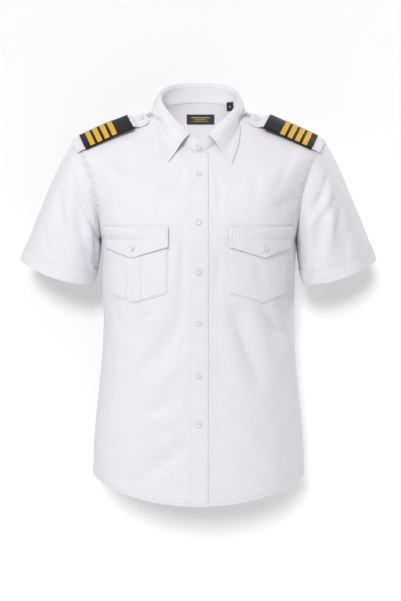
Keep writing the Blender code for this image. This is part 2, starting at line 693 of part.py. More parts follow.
def build_collar(body_tree, materials):
    """The stand, a ring with lapped ends, and the leaf that rolls over its top edge."""
    white = materials["white"]
    steps = np.linspace(0.0, 1.0, COLLAR_COLUMNS)
    keys = table_curve(COLLAR_KEYS, steps)
    fold, fall = keys[:, :3], keys[:, 3:]

    # The stand's lower edge is the neckline, and its top edge ends just under the fold
    back_points = row_curve(BACK_ROWS, ARMHOLE_BACK, 3.0)[0]
    front_points = row_curve(FRONT_ROWS, ARMHOLE_FRONT, 3.0)[0]
    neck = np.vstack([back_points, front_points[-2::-1]])
    lengths = np.concatenate([[0.0], np.cumsum(np.linalg.norm(np.diff(neck, axis=0), axis=1))])
    front_end = np.array([0.0, fold[-1][1] + STAND_FRONT[1], STAND_FRONT[2]])
    top = np.vstack([fold - (0.0, 0.0, STAND_TOP_DROP), [front_end]])
    top_share = np.concatenate([steps * STAND_LEAF_SHARE, [1.0]])
    share = np.linspace(0.0, 1.0, COLLAR_COLUMNS + 2)

    def ring_at(shares, keys_at, line):
        """Points of a half ring at these shares of it. Past 1 the ring goes on over the middle."""
        inside = 1.0 - np.abs(1.0 - shares)
        points = np.stack([np.interp(inside, keys_at, line[:, i]) for i in range(3)], axis=-1)
        return points * np.stack([np.where(shares > 1.0, -1.0, 1.0)] + 2 * [np.ones(len(shares))], axis=-1)

    # One end laps over the other, so the ring steps out a little from one side to the other
    ends = [1.0 + reach / lengths[-1] * np.array([0.5, 1.0]) for reach in (STAND_OVER_END, STAND_UNDER_END)]
    over, under = (np.concatenate([share, end]) for end in ends)
    low, high = (
        np.vstack([ring_at(under[:0:-1], at, line) * (-1, 1, 1), ring_at(over, at, line)])
        for at, line in ((lengths / lengths[-1], neck), (top_share, top))
    )
    low = low + STAND_LIFT * unit(high - low)
    grid = np.array([low + (high - low) * s for s in (0.0, 0.36, 0.70, 1.0)])
    columns = grid.shape[1]
    centre = np.array([0.0, NECK_CENTRE_Y, 0.0])
    outward = grid - centre
    normals = grid_normals(grid, outward)
    turn = np.linspace(-1.0, 1.0, columns)
    step = np.sign(turn) * smooth((np.abs(turn) - 0.84) / 0.16) * STAND_STEP
    outer = grid + step[:, None] * normals
    outer[1:3] += 0.8 * normals[1:3]
    wall("collar_stand", outer, outer - STAND_WALL * normals, white)

    # The leaf: up from the stand's top, over the roll and down to its free edge
    def mirrored(points, shift):
        right_side = points.copy()
        left_side = points[:0:-1] * (-1, 1, 1)
        weight = smooth((steps - 0.6) / 0.4)[:, None]
        right_side += weight * np.array(shift[0])
        left_side += weight[:0:-1] * np.array(shift[1])
        return np.vstack([left_side, right_side])

    none = (np.zeros(3), np.zeros(3))
    tips = (np.array(TIP_SHIFT_RIGHT), np.array(TIP_SHIFT_LEFT))
    fold, fall = mirrored(fold, none), mirrored(fall, tips)
    away = unit((fall - fold) * (1, 1, 0))
    up = np.array([0.0, 0.0, 1.0])
    rows = [fold + (-0.4 * away) + (-STAND_TOP_DROP + 1.8) * up, fold + 1.2 * away + 1.6 * up]
    rows.append(fold + LEAF_ROLL * away + 0.2 * up)
    for k in range(1, LEAF_ROWS + 1):
        t = k / LEAF_ROWS
        bow = math.sin(math.pi * t) * 2.6
        rows.append(fold + LEAF_ROLL * away * (1 - t) + (fall - fold) * t + bow * away)
    grid = np.array(rows)
    normals = grid_normals(grid, unit(grid - centre) + (0, 0, 0.6))
    inner = grid.copy()
    inner[3:] = rest_on(body_tree, grid[3:], LEAF_CLEARANCE, normals[3:])
    normals = grid_normals(inner, normals)
    wall("collar_leaf", inner + LEAF_WALL * normals, inner, white)
    return outer


def build_strap(side, name, tree, materials):
    """A shoulder strap with its button, and the rank slide with its bars that is pushed on to it."""
    outer_end = edge_point(2.0, ARMHOLE_FRONT) * (side, 1, 1)
    inner_end = edge_point(3.0, ARMHOLE_FRONT) * (side, 1, 1)
    inward = unit(inner_end - outer_end)
    across = unit(np.array([0.0, -1.0, 0.0]) + STRAP_TILT * np.array([0.0, 0.0, -1.0]))
    across = unit(across - (across @ inward) * inward)
    out = np.cross(inward, across)
    out = out if out[2] > 0 else -out
    start = outer_end + STRAP_CENTRE_DROP * across
    inward = unit(inward - STRAP_CENTRE_RISE / STRAP_LENGTH * across)
    across = unit(across - (across @ inward) * inward)

    def seat(d, w):
        """The cloth's height over the strap's own plane, at d along it and w across it."""
        base = start + d * inward + w * across
        place, _ = drop(tree, base + 80.0 * out, -out)
        return (place - base) @ out

    def bed(ds, ws):
        """A smooth sheet that lies on the cloth, as points and normals."""
        heights = np.array([[seat(d, w) for w in ws] for d in ds])
        rim = np.pad(heights, 1, mode="edge")
        rows, columns = heights.shape
        heights = np.max([rim[i:i + rows, j:j + columns] for i in range(3) for j in range(3)], axis=0)
        base = np.array([[start + d * inward + w * across for w in ws] for d in ds])
        points = base + heights[..., None] * out
        return points, grid_normals(points, out)

    # The strap narrows towards the neck, where its end is rounded
    shares = np.linspace(-1.0, 1.0, 7)
    slide_end = SLIDE_START + SLIDE_LENGTH
    ds = np.concatenate([
        [1.5, 10.0],
        np.linspace(SLIDE_START - 1.0, slide_end + 1.0, 7),
        [slide_end + 7.0, slide_end + 13.0, STRAP_LENGTH - 16.0],
        STRAP_LENGTH - np.array([9.0, 3.0, 0.0]),
    ])
    half = (STRAP_WIDTH_OUTER + (STRAP_WIDTH_INNER - STRAP_WIDTH_OUTER) * ds / STRAP_LENGTH) / 2.0
    half[-3:] *= (0.93, 0.74, 0.5)
    ws = np.linspace(-32.0, 32.0, 17)
    sheet, sheet_normals = bed(np.linspace(-2.0, STRAP_LENGTH + 4.0, 22), ws)
    spots = np.linspace(-2.0, STRAP_LENGTH + 4.0, 22)

    def on_sheet(d, w, values):
        """Values of the smooth sheet at d along and w across."""
        i = np.clip(np.searchsorted(spots, d) - 1, 0, len(spots) - 2)
        j = np.clip(np.searchsorted(ws, w) - 1, 0, len(ws) - 2)
        a = (d - spots[i]) / (spots[i + 1] - spots[i])
        b = (w - ws[j]) / (ws[j + 1] - ws[j])
        return (
            (1 - a) * (1 - b) * values[i, j] + a * (1 - b) * values[i + 1, j]
            + (1 - a) * b * values[i, j + 1] + a * b * values[i + 1, j + 1]
        )

    def over(d, w, height):
        """A point this high over the sheet."""
        return on_sheet(d, w, sheet) + height * unit(on_sheet(d, w, sheet_normals))

    def tilt(d):
        """How far the stiff slide stands off the shoulder, more towards the neck."""
        return SLIDE_TILT * np.clip((d - SLIDE_START) / SLIDE_LENGTH, 0.0, 1.0)

    def strap_height(d):
        inside = smooth((d + 6.0) / 8.0) * smooth((slide_end + 13.0 - d) / 12.0)
        return STRAP_LIFT + (SLIDE_LIFT + tilt(d)) * inside

    inner = np.array([[over(d, h * s, strap_height(d)) for s in shares] for d, h in zip(ds, half)])
    normals = grid_normals(inner, out)
    top = inner + STRAP_WALL * normals
    wall(f"shoulder_strap_{name}", top, inner, materials["white"])
    d = STRAP_LENGTH - STRAP_BUTTON_FROM_TIP
    normal = unit(on_sheet(d, 0.0, sheet_normals))
    sew_button(f"strap_button_{name}", tree_of(top), over(d, 0.0, 0.0), normal, materials["button"])

    # The slide is a flat tube round the strap, open at both ends
    half_slide = SLIDE_WIDTH / 2.0
    bottom, roof = 0.7, STRAP_LIFT + SLIDE_LIFT + STRAP_WALL + 1.0 + SLIDE_WALL
    flat = np.linspace(-half_slide + 2.0, half_slide - 2.0, 7)
    middle = (bottom + roof) / 2.0

    def tube(d, inset):
        ring = [over(d, w, roof - inset + tilt(d)) for w in flat]
        ring += [over(d, half_slide - inset * 0.9, middle + tilt(d))]
        ring += [over(d, w, bottom + inset + tilt(d)) for w in flat[::-1]]
        ring += [over(d, -half_slide + inset * 0.9, middle + tilt(d))]
        return ring

    stations = np.linspace(SLIDE_START, slide_end, 8)
    outer = np.array([tube(d, 0.0) for d in stations])
    inside = np.array([tube(d, SLIDE_WALL) for d in stations])
    wall(f"rank_slide_{name}", outer, inside, materials["black"], closed=True)

    # Four bars of braid lie across the slide
    for k in range(BAR_COUNT):
        low = SLIDE_START + BAR_MARGIN + k * (BAR_WIDTH + BAR_GAP)
        bar = np.array([[over(d, w, roof + BAR_LIFT + tilt(d)) for w in flat]
                        for d in (low, low + BAR_WIDTH / 2.0, low + BAR_WIDTH)])
        normals = grid_normals(bar, out)
        wall(f"rank_bar_{name}_{k + 1}", bar + BAR_THICKNESS * normals, bar, materials["gold"])


def sew_button(name, tree, point, normal, material):
    """Adds a button that lies on the tree's surface at point, clear of it all round its rim."""
    u = unit(np.cross(normal, (0.31, 0.07, 1.0)))
    w = np.cross(normal, u)
    height = -20.0
    for turn in np.linspace(0.0, 2.0 * math.pi, 9):
        for reach in (0.0, BUTTON_DIAMETER / 2.0):
            spot = point + reach * (math.cos(turn) * u + math.sin(turn) * w)
            place, _ = drop(tree, spot + 20.0 * normal, -normal)
            height = max(height, (place - point) @ normal)
    add_button(name, point + (height + BUTTON_CLEARANCE) * normal, normal, material)


def add_button(name, base, normal, material):
    """A round four-hole button, its underside at base and its face turned along normal."""
    radius, thick = BUTTON_DIAMETER / 2.0, BUTTON_THICKNESS
    profile = ((radius - 0.5, 0.0), (radius, 0.7), (radius - 0.5, thick), (radius - 1.6, thick - 0.5))
    sides = 14
    u = unit(np.cross(normal, (0.31, 0.07, 1.0)))
    w = np.cross(normal, u)
    verts, faces = [], []
    for r, h in profile:
        for k in range(sides):
            a = 2.0 * math.pi * k / sides
            verts.append(base + r * math.cos(a) * u + r * math.sin(a) * w + h * np.asarray(normal))
    rings = len(profile)
    for i in range(rings - 1):
        for k in range(sides):
            n = (k + 1) % sides
            faces.append((i * sides + k, i * sides + n, (i + 1) * sides + n, (i + 1) * sides + k))
    holes = []
    for a, b in ((1, 1), (-1, 1), (-1, -1), (1, -1)):
        centre = base + BUTTON_HOLE_SPACING / 2.0 * (a * u + b * w)
        first = len(verts)
        for h in (0.0, thick - 0.5):
            for c, d in ((1, 1), (-1, 1), (-1, -1), (1, -1)):
                verts.append(centre + BUTTON_HOLE / 2.0 * (c * u + d * w) + h * np.asarray(normal))
        for k in range(4):
            n = (k + 1) % 4
            faces.append((first + k, first + 4 + k, first + 4 + n, first + n))
        holes.append(first)
    mesh_faces = [list(face) for face in faces]
    for level, ring in ((0, 0), (4, rings - 1)):
        mesh_faces += button_cap(level, ring * sides, sides, holes)
    add_object(name, verts, mesh_faces, material)


def button_cap(level, ring_start, sides, holes):
    """Faces of a button's flat side, round its four holes: a frame of quads, then fans to the rim."""
    corner = [[holes[q] + level + k for k in range(4)] for q in range(4)]
    outer = [corner[q][q] for q in range(4)]
    faces = []
    # Between neighbouring holes, and the square in the middle
    for q in range(4):
        n = (q + 1) % 4
        faces.append((corner[q][q], corner[q][n], corner[n][q], corner[n][n]))
    faces.append(tuple(corner[q][(q + 2) % 4] for q in range(4)))
    for q in range(4):
        n = (q + 1) % 4
        faces.append((corner[q][n], corner[q][(q + 2) % 4], corner[n][(n + 2) % 4], corner[n][q]))
    # From the frame's four corners out to the rim
    rim = [ring_start + k for k in range(sides)]
    places = [round(sides * (0.125 + 0.25 * q)) % sides for q in range(4)]
    for q in range(4):
        n = (q + 1) % 4
        k = places[q]
        while k != places[n]:
            faces.append((outer[q], rim[k], rim[(k + 1) % sides]))
            k = (k + 1) % sides
        faces.append((outer[q], rim[places[n]], outer[n]))
    return faces


def build_labels(yoke_tree, neck_tree, materials):
    """The woven neck label on the yoke's inside, and the size tag beside it. Both are plain."""
    width, height = NECK_LABEL
    xs = NECK_LABEL_AT[0] + np.linspace(-width / 2.0, width / 2.0, 5)
    zs = NECK_LABEL_AT[1] + np.linspace(height / 2.0, -height / 2.0, 3)
    rows = []
    for z in zs:
        rows.append([drop(yoke_tree, (x, 0.0, z), (0, 1, 0))[0] - (0, 0.6, 0) for x in xs])
    back = np.array(rows)
    normals = grid_normals(back, (0.0, -1.0, 0.0))
    wall("neck_label", back + LABEL_THICKNESS * normals, back, materials["black"])

    # The size tag hangs straight down from the stand's lower edge
    width, height = SIZE_TAG
    columns = []
    for turn in SIZE_TAG_TURN + np.linspace(-0.5, 0.5, 3) * width / SIZE_TAG_RADIUS:
        direction = np.array([math.sin(turn), math.cos(turn), 0.0])
        place, _ = drop(neck_tree, (0.0, NECK_CENTRE_Y, SIZE_TAG_TOP), direction)
        columns.append(place - 1.0 * direction)
    back = np.array([[place - (0, 0, drop_down) for place in columns] for drop_down in (0.0, height)])
    normals = grid_normals(back, (0.0, NECK_CENTRE_Y, 0.0) - back)
    wall("size_tag", back + LABEL_THICKNESS * normals, back, materials["black"])


def make_material(name, colour, roughness):
    """A plain coloured material."""
    material = bpy.data.materials.new(name)
    material.use_nodes = True
    shader = material.node_tree.nodes["Principled BSDF"]
    shader.inputs["Base Color"].default_value = (*colour, 1.0)
    shader.inputs["Roughness"].default_value = roughness
    return material


def main():
    materials = {
        "white": make_material("white_cotton_poplin", WHITE_CLOTH, 0.85),
        "black": make_material("black_woven_cloth", BLACK_CLOTH, 0.9),
        "gold": make_material("gold_braid", GOLD_BRAID, 0.5),
        "button": make_material("white_polyester_button", PEARL, 0.3),
    }
    surfaces = {
        "front_left": front_surface(-1),
        "front_right": front_surface(1),
        "back": back_surface(0.0, YOKE_SEAM),
        "yoke": back_surface(YOKE_SEAM, 3.0),
        "sleeve_left": sleeve_surface(-1),
        "sleeve_right": sleeve_surface(1),
    }
    share_normals(surfaces.values())
    build_shell(surfaces, materials)
    fronts = {side: tree_of(surfaces[name][0]) for side, name in ((-1, "front_left"), (1, "front_right"))}
    body = tree_of(surfaces["front_left"][0], surfaces["front_right"][0], surfaces["yoke"][0])
    placket = build_placket(materials["white"])
    for side, name in ((-1, "left"), (1, "right")):
        build_pocket(name, FrontPlaces(side, fronts[side]), materials)
        build_strap(side, name, body, materials)
    stand = build_collar(body, materials)
    for k, z in enumerate(BUTTON_HEIGHTS):
        place, normal = drop(placket, (BUTTON_X, -300.0, z), (0, 1, 0))
        sew_button(f"front_button_{k + 1}", placket, place, normal, materials["button"])
    stand_tree = tree_of(stand)
    place, normal = drop(stand_tree, (BUTTON_X, -300.0, COLLAR_BUTTON_HEIGHT), (0, 1, 0))
    sew_button("collar_button", stand_tree, place, normal, materials["button"])
    inside = surfaces["yoke"][0] - CLOTH * surfaces["yoke"][1]
    build_labels(tree_of(inside), tree_of(inside, stand - STAND_WALL * grid_normals(stand, stand)), materials)


main()
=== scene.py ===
"""Looks of a short-sleeved pilot shirt: white poplin, black rank slides with gold braid, white buttons.

Every cut and sewn piece is a thin shell of cloth on the form of its own solid. The panels are lofted
through the same rows as the solids, with finer creases, and whatever lies on a panel is made from that
panel's points, moved out. Sizes are in millimetres until a mesh is made. The frame is in metres, with
+Z up and the front facing -Y.
"""

from __future__ import annotations

import logging
import math
from dataclasses import dataclass, field
from enum import Enum
from typing import Callable, Iterable, Mapping, NamedTuple, Sequence

import bmesh
import bpy
import numpy as np
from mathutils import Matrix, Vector, noise
from mathutils.bvhtree import BVHTree


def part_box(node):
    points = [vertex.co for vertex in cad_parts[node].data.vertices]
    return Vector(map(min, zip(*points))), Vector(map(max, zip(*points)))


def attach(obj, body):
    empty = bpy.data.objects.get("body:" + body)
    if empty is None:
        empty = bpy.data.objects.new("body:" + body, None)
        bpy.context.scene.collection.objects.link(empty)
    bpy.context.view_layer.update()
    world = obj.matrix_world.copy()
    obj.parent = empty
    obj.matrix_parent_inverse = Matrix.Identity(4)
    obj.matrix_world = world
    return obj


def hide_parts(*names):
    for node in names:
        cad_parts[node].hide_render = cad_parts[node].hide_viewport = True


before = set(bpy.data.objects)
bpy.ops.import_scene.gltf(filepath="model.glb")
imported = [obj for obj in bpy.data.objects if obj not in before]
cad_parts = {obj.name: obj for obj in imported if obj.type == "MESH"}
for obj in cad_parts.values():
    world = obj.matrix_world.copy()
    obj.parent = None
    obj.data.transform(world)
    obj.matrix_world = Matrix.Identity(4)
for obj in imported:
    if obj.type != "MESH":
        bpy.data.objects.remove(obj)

Array = np.ndarray
Object3D = bpy.types.Object
Triple = tuple[float, float, float]
PlacesOf = Callable[[float], np.ndarray]
LOG = logging.getLogger("pilot_shirt")
MM = 0.001
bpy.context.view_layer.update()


class Slot(Enum):
    """The record's material slots."""

    POPLIN = "white_poplin"
    BLACK = "black_cloth"
    BRAID = "gold_braid"
    BUTTON = "white_button"
    LABEL = "label_cloth"


class Side(Enum):
    """The two halves of the shirt, as the viewer sees them."""

    LEFT = -1
    RIGHT = 1

    @property
    def word(self) -> str:
        """The side as it is used in names."""
        return self.name.lower()


class Held(Enum):
    """How a sheet of cloth is held."""

    HUNG = "hung"
    LAID = "laid"
    FOLDED = "folded"


# Tables of the cut


def table(kind: type, rows: Sequence[tuple]) -> tuple:
    """A table's rows, with the columns that kind names."""
    return tuple(kind(*row) for row in rows)


class Row(NamedTuple):
    """One row of half a torso: its point on the middle line, and its handles at both ends."""

    v: float
    middle_y: float
    middle_z: float
    reach: float
    turn_x: float
    turn_y: float
    turn_z: float


class Edge(NamedTuple):
    """A point on an edge that panels share."""

    v: float
    x: float
    y: float
    z: float


class Fold(NamedTuple):
    """A broad fold, seen square on: both ends, half its width, and how far it rises."""

    x0: float
    z0: float
    x1: float
    z1: float
    half_width: float
    rise: float


class Crease(NamedTuple):
    """A finer crease along a bent line of x and z in turn. near and far are its half widths."""

    line: tuple[float, ...]
    near: float
    far: float
    rise: float


class SleeveLine(NamedTuple):
    """How the sleeve leaves the armhole and reaches its hem, at one place round it."""

    around: float
    leave_x: float
    leave_y: float
    leave_z: float
    arrive_x: float
    arrive_y: float
    arrive_z: float


class SleeveFold(NamedTuple):
    """A fold of a sleeve, by place round it and share of its length at each end."""

    around0: float
    down0: float
    around1: float
    down1: float
    half_width: float
    rise: float


class CollarKey(NamedTuple):
    """The collar's fold and free edge at one place, from the middle of the back to the front."""

    along: float
    fold_x: float
    fold_y: float
    fold_z: float
    fall_x: float
    fall_y: float
    fall_z: float


FRONT_ROWS = table(Row, (
    (0, -130, -718, 128, 0, 82, 0),
    (0.14, -127.5, -648, 127, 0, 80, 0),
    (0.3, -124, -576, 122, 0, 78, 0),
    (0.46, -121.5, -496, 117, 0, 76, 0),
    (0.63, -121.5, -411, 115, 0, 77, 0),
    (0.81, -126.5, -325, 119, 0, 80, 0),
    (1, -131, -240, 124, 2, 82, 0),
    (1.14, -129.5, -224, 124, 10, 66, 2),
    (1.3, -127, -208, 122, 25, 52, 4),
    (1.47, -122, -190, 120, 43, 44, 6),
    (1.64, -115.5, -170, 118, 53, 42, 6),
    (1.82, -107, -149, 114, 55, 44, 6),
    (2, -98.5, -130, 106, 50, 48, 4),
    (2.33, -91, -115, 80, 22, 46, 12),
    (2.66, -82.5, -100, 54, 10, 38, 22),
    (3, -70, -80, 24, 8, 30, 28),
))
BACK_ROWS = table(Row, (
    (0, 126, -720, 128, 0, -80, 0),
    (0.14, 122, -650, 127, 0, -78, 0),
    (0.3, 117, -577, 122, 0, -75, 0),
    (0.46, 112.5, -497, 117, 0, -72, 0),
    (0.63, 113.5, -412, 116, 0, -73, 0),
    (0.81, 119, -326, 119, 0, -77, 0),
    (1, 124, -241, 124, 2, -80, 0),
    (1.14, 124.5, -215, 124, 10, -66, 2),
    (1.3, 124, -186, 122, 26, -52, 2),
    (1.47, 120.5, -155, 120, 44, -44, 0),
    (1.64, 114, -122, 118, 54, -42, -4),
    (1.82, 103.5, -86, 112, 54, -44, -14),
    (2, 91, -50, 100, 42, -46, -26),
    (2.33, 80.5, -27, 74, 14, -42, -18),
    (2.66, 70.5, -5, 48, 2, -34, -12),
    (3, 60, 17, 34, -8, -30, -12),
))
SIDE_SEAM = table(Edge, (
    (0, 197.8, 2, -673.5),
    (0.14, 195, 2, -612),
    (0.3, 189, 2, -545),
    (0.46, 181.5, 2, -472),
    (0.63, 177, 2, -396),
    (0.81, 179, 3, -318),
    (1, 181, 4, -236),
))
ARMHOLE_FRONT = table(Edge, (
    (1, 181, 4, -236),
    (1.14, 181.8, -27, -221),
    (1.3, 185, -47, -192),
    (1.47, 191.5, -57, -153),
    (1.64, 203, -54, -115),
    (1.82, 219, -37, -79),
    (2, 234, -4, -58),
))
ARMHOLE_BACK = table(Edge, (
    (1, 181, 4, -236),
    (1.14, 182.5, 34, -222),
    (1.3, 187, 56, -192),
    (1.47, 195, 64, -154),
    (1.64, 206, 60, -115),
    (1.82, 220.5, 40, -78),
    (2, 234, -4, -58),
))
SHOULDER_SEAM = table(Edge, (
    (2, 234, -4, -58),
    (2.33, 181, -6, -40),
    (2.66, 128, -6, -21),
    (3, 74, -3, -1),
))
YOKE_SEAM = 1.75
UNDER_LAP = -12.0
OVER_LAP = 13.4
CREASE_STEPS = 25
ROW_STEPS = 121

# The folds that the solids hold too
FRONT_FOLDS = table(Fold, (
    (-24, -360, -130, -515, 16, -4.2),
    (-48, -345, -150, -470, 13, 2.4),
    (-24, -440, -120, -548, 14, 2.8),
    (-34, -520, -130, -578, 13, -3.4),
    (-24, -560, -140, -628, 12, 2.6),
    (-24, -595, -122, -678, 14, -4.8),
    (66, -378, 108, -488, 13, -4.4),
    (44, -385, 82, -515, 13, 2.2),
    (98, -372, 142, -480, 12, 2.4),
    (118, -364, 160, -420, 11, -4),
    (150, -350, 170, -404, 10, -2.6),
    (148, -440, 168, -570, 12, 2.2),
    (60, -560, 130, -640, 15, 1.8),
    (172, -76, 141, -146, 10, -1.8),
    (172, -168, 143, -176, 10, -2.6),
    (-174, -190, -148, -168, 10, -2.2),
    (-140, -80, -120, -150, 14, -1.4),
))
BACK_FOLDS = table(Fold, (
    (-60, -160, -95, -330, 16, 2.2),
    (66, -165, 90, -345, 17, 2),
    (-30, -430, -150, -500, 14, -2.4),
    (24, -445, 155, -480, 15, -2.2),
    (-20, -560, -120, -620, 15, 2),
    (40, -540, 120, -640, 14, 2),
    (128, -360, 160, -440, 12, -2.4),
    (-132, -350, -158, -430, 11, -2.2),
))

# Finer creases, which only the looks hold
FRONT_CREASES = table(Crease, (
    ((-26, -380, -62, -440, -84, -505, -120, -545), 11, 13, -4.4),
    ((-40, -368, -74, -412, -106, -456, -134, -490), 10, 12, 3.2),
    ((-22, -402, -27, -425, -38, -454), 4.5, 7, -2.8),
    ((-20, -556, -62, -584, -96, -600, -128, -616), 8, 11, -4.4),
    ((-24, -530, -66, -556, -104, -566, -140, -590), 9, 11, 2.8),
    ((-20, -600, -46, -630, -80, -655, -112, -674), 6, 10, -4.6),
    ((-21, -578, -50, -606, -84, -632), 7, 9, 2.4),
    ((-98, -375, -112, -405, -122, -432), 9, 11, -2.8),
    ((-156, -352, -149, -375, -141, -400), 5, 8, -2),
    ((-171, -415, -163, -445, -158, -472), 4, 7, -1.8),
    ((69, -391, 90, -450, 107, -478), 4.5, 9, -1.2),
    ((58, -394, 76, -450, 92, -494), 6, 8, 0.8),
    ((117, -364, 139, -396, 161, -418), 4, 8, -1.1),
    ((150, -342, 162, -374, 173, -407), 4, 7, -0.9),
    ((173, -80, 158, -112, 142, -148), 5, 9, -0.9),
    ((144, -176, 160, -177, 176, -171), 4, 7, -1.8),
    ((150, -196, 162, -196, 176, -204), 4, 8, 1.4),
    ((-27, -212, -29, -280, -34, -364), 5, 9, -3.6),
    ((-46, -236, -43, -290, -50, -350), 5, 7, 2.2),
    ((25, -196, 34, -216, 47, -224), 4.5, 6, -2.4),
    ((27, -250, 35, -276, 32, -330), 4.5, 7, -2.3),
    ((27, -118, 37, -150, 34, -188), 4.5, 7, -2.3),
    ((-26, -112, -36, -140, -54, -164), 4.5, 8, -2.4),
    ((54, -350, 72, -366, 96, -372), 4.5, 7, -2),
    ((-60, -352, -86, -372, -120, -380), 4.5, 7, -1.9),
    ((106, -272, 110, -310, 118, -346), 8, 13, -2.4),
    ((-120, -96, -128, -130, -118, -170), 6, 9, -1.6),
    ((92, -100, 104, -136, 100, -176), 6, 9, -1.6),
    ((-177, -193, -166, -182, -155, -171), 4, 7, -0.8),
    ((-34, -110, -58, -150, -92, -196), 9, 14, -0.6),
    ((30, -112, 52, -150, 84, -190), 9, 14, -0.5),
    ((-152, -372, -166, -440, -172, -520), 7, 10, 0.9),
    ((-140, -560, -160, -600, -176, -622), 6, 9, -0.8),
    ((32, -560, 60, -592, 96, -632, 118, -668), 7, 12, -0.9),
    ((120, -520, 142, -556, 166, -580), 6, 10, -0.7),
    ((30, -430, 44, -480, 50, -540), 8, 12, -0.6),
    ((-30, -400, -40, -450, -48, -490), 8, 11, 0.5),
    ((136, -640, 158, -654, 176, -660), 6, 8, 0.7),
))
BACK_CREASES = table(Crease, (
    ((-40, -425, -86, -452, -140, -470, -166, -472), 5, 10, -2),
    ((30, -440, 80, -462, 130, -470, 164, -466), 5, 10, -1.8),
    ((-30, -480, -80, -510, -130, -536), 6, 9, 1.4),
    ((34, -490, 90, -514, 150, -530), 6, 9, 1.4),
    ((-20, -590, -66, -626, -112, -650), 5, 10, -2.2),
    ((36, -575, 80, -612, 128, -640), 5, 10, -2),
    ((-70, -180, -92, -250, -104, -330), 8, 13, 1.6),
    ((72, -180, 90, -256, 98, -336), 8, 13, 1.4),
    ((-150, -190, -140, -230, -136, -280), 6, 9, -1.6),
    ((152, -188, 142, -236, 138, -276), 6, 9, -1.6),
    ((-10, -120, -14, -220, -6, -320), 12, 14, 1.1),
    ((-120, -560, -150, -590, -172, -600), 6, 9, 1.3),
    ((120, -570, 150, -588, 174, -592), 6, 9, 1.3),
))

SLEEVE_HEM_CENTRE = (263.0, 9.0, -295.5)
SLEEVE_HEM_OUT = (68.5, -1.0, 20.0)
SLEEVE_HEM_FRONT = (-8.0, -63.0, -17.0)
SLEEVE_LINES = table(SleeveLine, (
    (0, 105, 0, -170, 70, 4, -175),
    (0.12, 118, -40, -150, 66, 4, -160),
    (0.25, 88, -38, -105, 70, -2, -125),
    (0.38, 30, -22, -76, 44, 6, -86),
    (0.5, 4, 4, -62, 34, 4, -78),
    (0.62, 30, 26, -76, 44, 4, -82),
    (0.75, 88, 42, -105, 70, 4, -115),
    (0.88, 118, 40, -150, 66, 4, -150),
    (1, 105, 0, -170, 70, 4, -175),
))
SLEEVE_FOLDS = table(SleeveFold, (
    (0.19, 0.2, 0.4, 0.86, 11, -5),
    (0.35, 0.24, 0.45, 0.76, 10, -3.2),
    (0.29, 0.16, 0.38, 0.56, 10, 2.6),
    (0.15, 0.28, 0.27, 0.76, 12, 3),
    (0.09, 0.26, 0.21, 0.86, 12, -2.2),
    (0.76, 0.16, 0.62, 0.82, 12, -3.4),
    (0.86, 0.24, 0.76, 0.76, 12, 2.4),
))
SLEEVE_CREASES = table(SleeveFold, (
    (0.8, 0.12, 0.7, 0.62, 6, -1.6),
    (0.92, 0.18, 0.86, 0.66, 7, -1.2),
    (0.68, 0.4, 0.62, 0.92, 6, 1.3),
    (0.86, 0.1, 0.78, 0.4, 5, 1.2),
))
RIGHT_SLEEVE_CREASES = table(SleeveFold, (
    (0.105, 0.18, 0.2, 0.25, 5, -2.6),
    (0.19, 0.24, 0.33, 0.225, 5.5, -3.2),
    (0.25, 0.19, 0.37, 0.09, 4.5, -2.2),
    (0.13, 0.3, 0.29, 0.35, 6, 2.2),
    (0.105, 0.35, 0.22, 0.41, 6, -2.4),
    (0.21, 0.4, 0.29, 0.6, 6.5, -2.2),
    (0.18, 0.48, 0.25, 0.7, 7, 1.8),
    (0.13, 0.46, 0.21, 0.6, 7, -1.9),
    (0.16, 0.7, 0.185, 0.86, 5, -1.4),
    (0.07, 0.54, 0.15, 0.7, 6, -1.2),
    (0.065, 0.03, 0.105, 0.16, 4.5, -1.4),
    (0.34, 0.36, 0.4, 0.66, 6, -1.8),
    (0.3, 0.44, 0.34, 0.92, 6, 1.2),
))
LEFT_SLEEVE_CREASES = table(SleeveFold, (
    (0.12, 0.16, 0.23, 0.22, 5, -4.1),
    (0.22, 0.21, 0.33, 0.23, 5.5, -5.4),
    (0.32, 0.23, 0.46, 0.13, 5.5, -4.4),
    (0.19, 0.14, 0.32, 0.13, 5, 2.9),
    (0.095, 0.38, 0.19, 0.52, 9, -3.4),
    (0.19, 0.5, 0.23, 0.68, 8, -2.7),
    (0.34, 0.5, 0.46, 0.7, 7, -4.4),
    (0.26, 0.5, 0.33, 0.7, 8, 2.9),
    (0.08, 0.64, 0.16, 0.8, 8, -2.5),
    (0.37, 0.28, 0.42, 0.5, 6, -2.7),
))
COLLAR_KEYS = table(CollarKey, (
    (0, 0, 55, 50.8, 0, 73, 7),
    (0.14, 27, 52.5, 50.4, 35, 69, 5.5),
    (0.28, 50, 40, 46.4, 63, 54, 3.8),
    (0.42, 66.5, 17, 36.6, 80.5, 24.5, 0.4),
    (0.56, 68.5, -8, 22.4, 85.5, -7, -8),
    (0.7, 59.5, -30, 2.2, 84, -34, -24),
    (0.84, 38.5, -49.5, -23.5, 73, -64, -59),
    (1, 15.5, -64, -49, 56.5, -91, -99),
))


# Curves and grids


def smooth(t: Array | float) -> Array:
    """Eases from 0 to 1 with no corner at either end."""
    t = np.clip(t, 0.0, 1.0)
    return t * t * (3.0 - 2.0 * t)


def unit(vectors: Sequence | Array) -> Array:
    """Each vector at a length of 1."""
    vectors = np.asarray(vectors, float)
    return vectors / np.maximum(np.linalg.norm(vectors, axis=-1, keepdims=True), 1e-12)


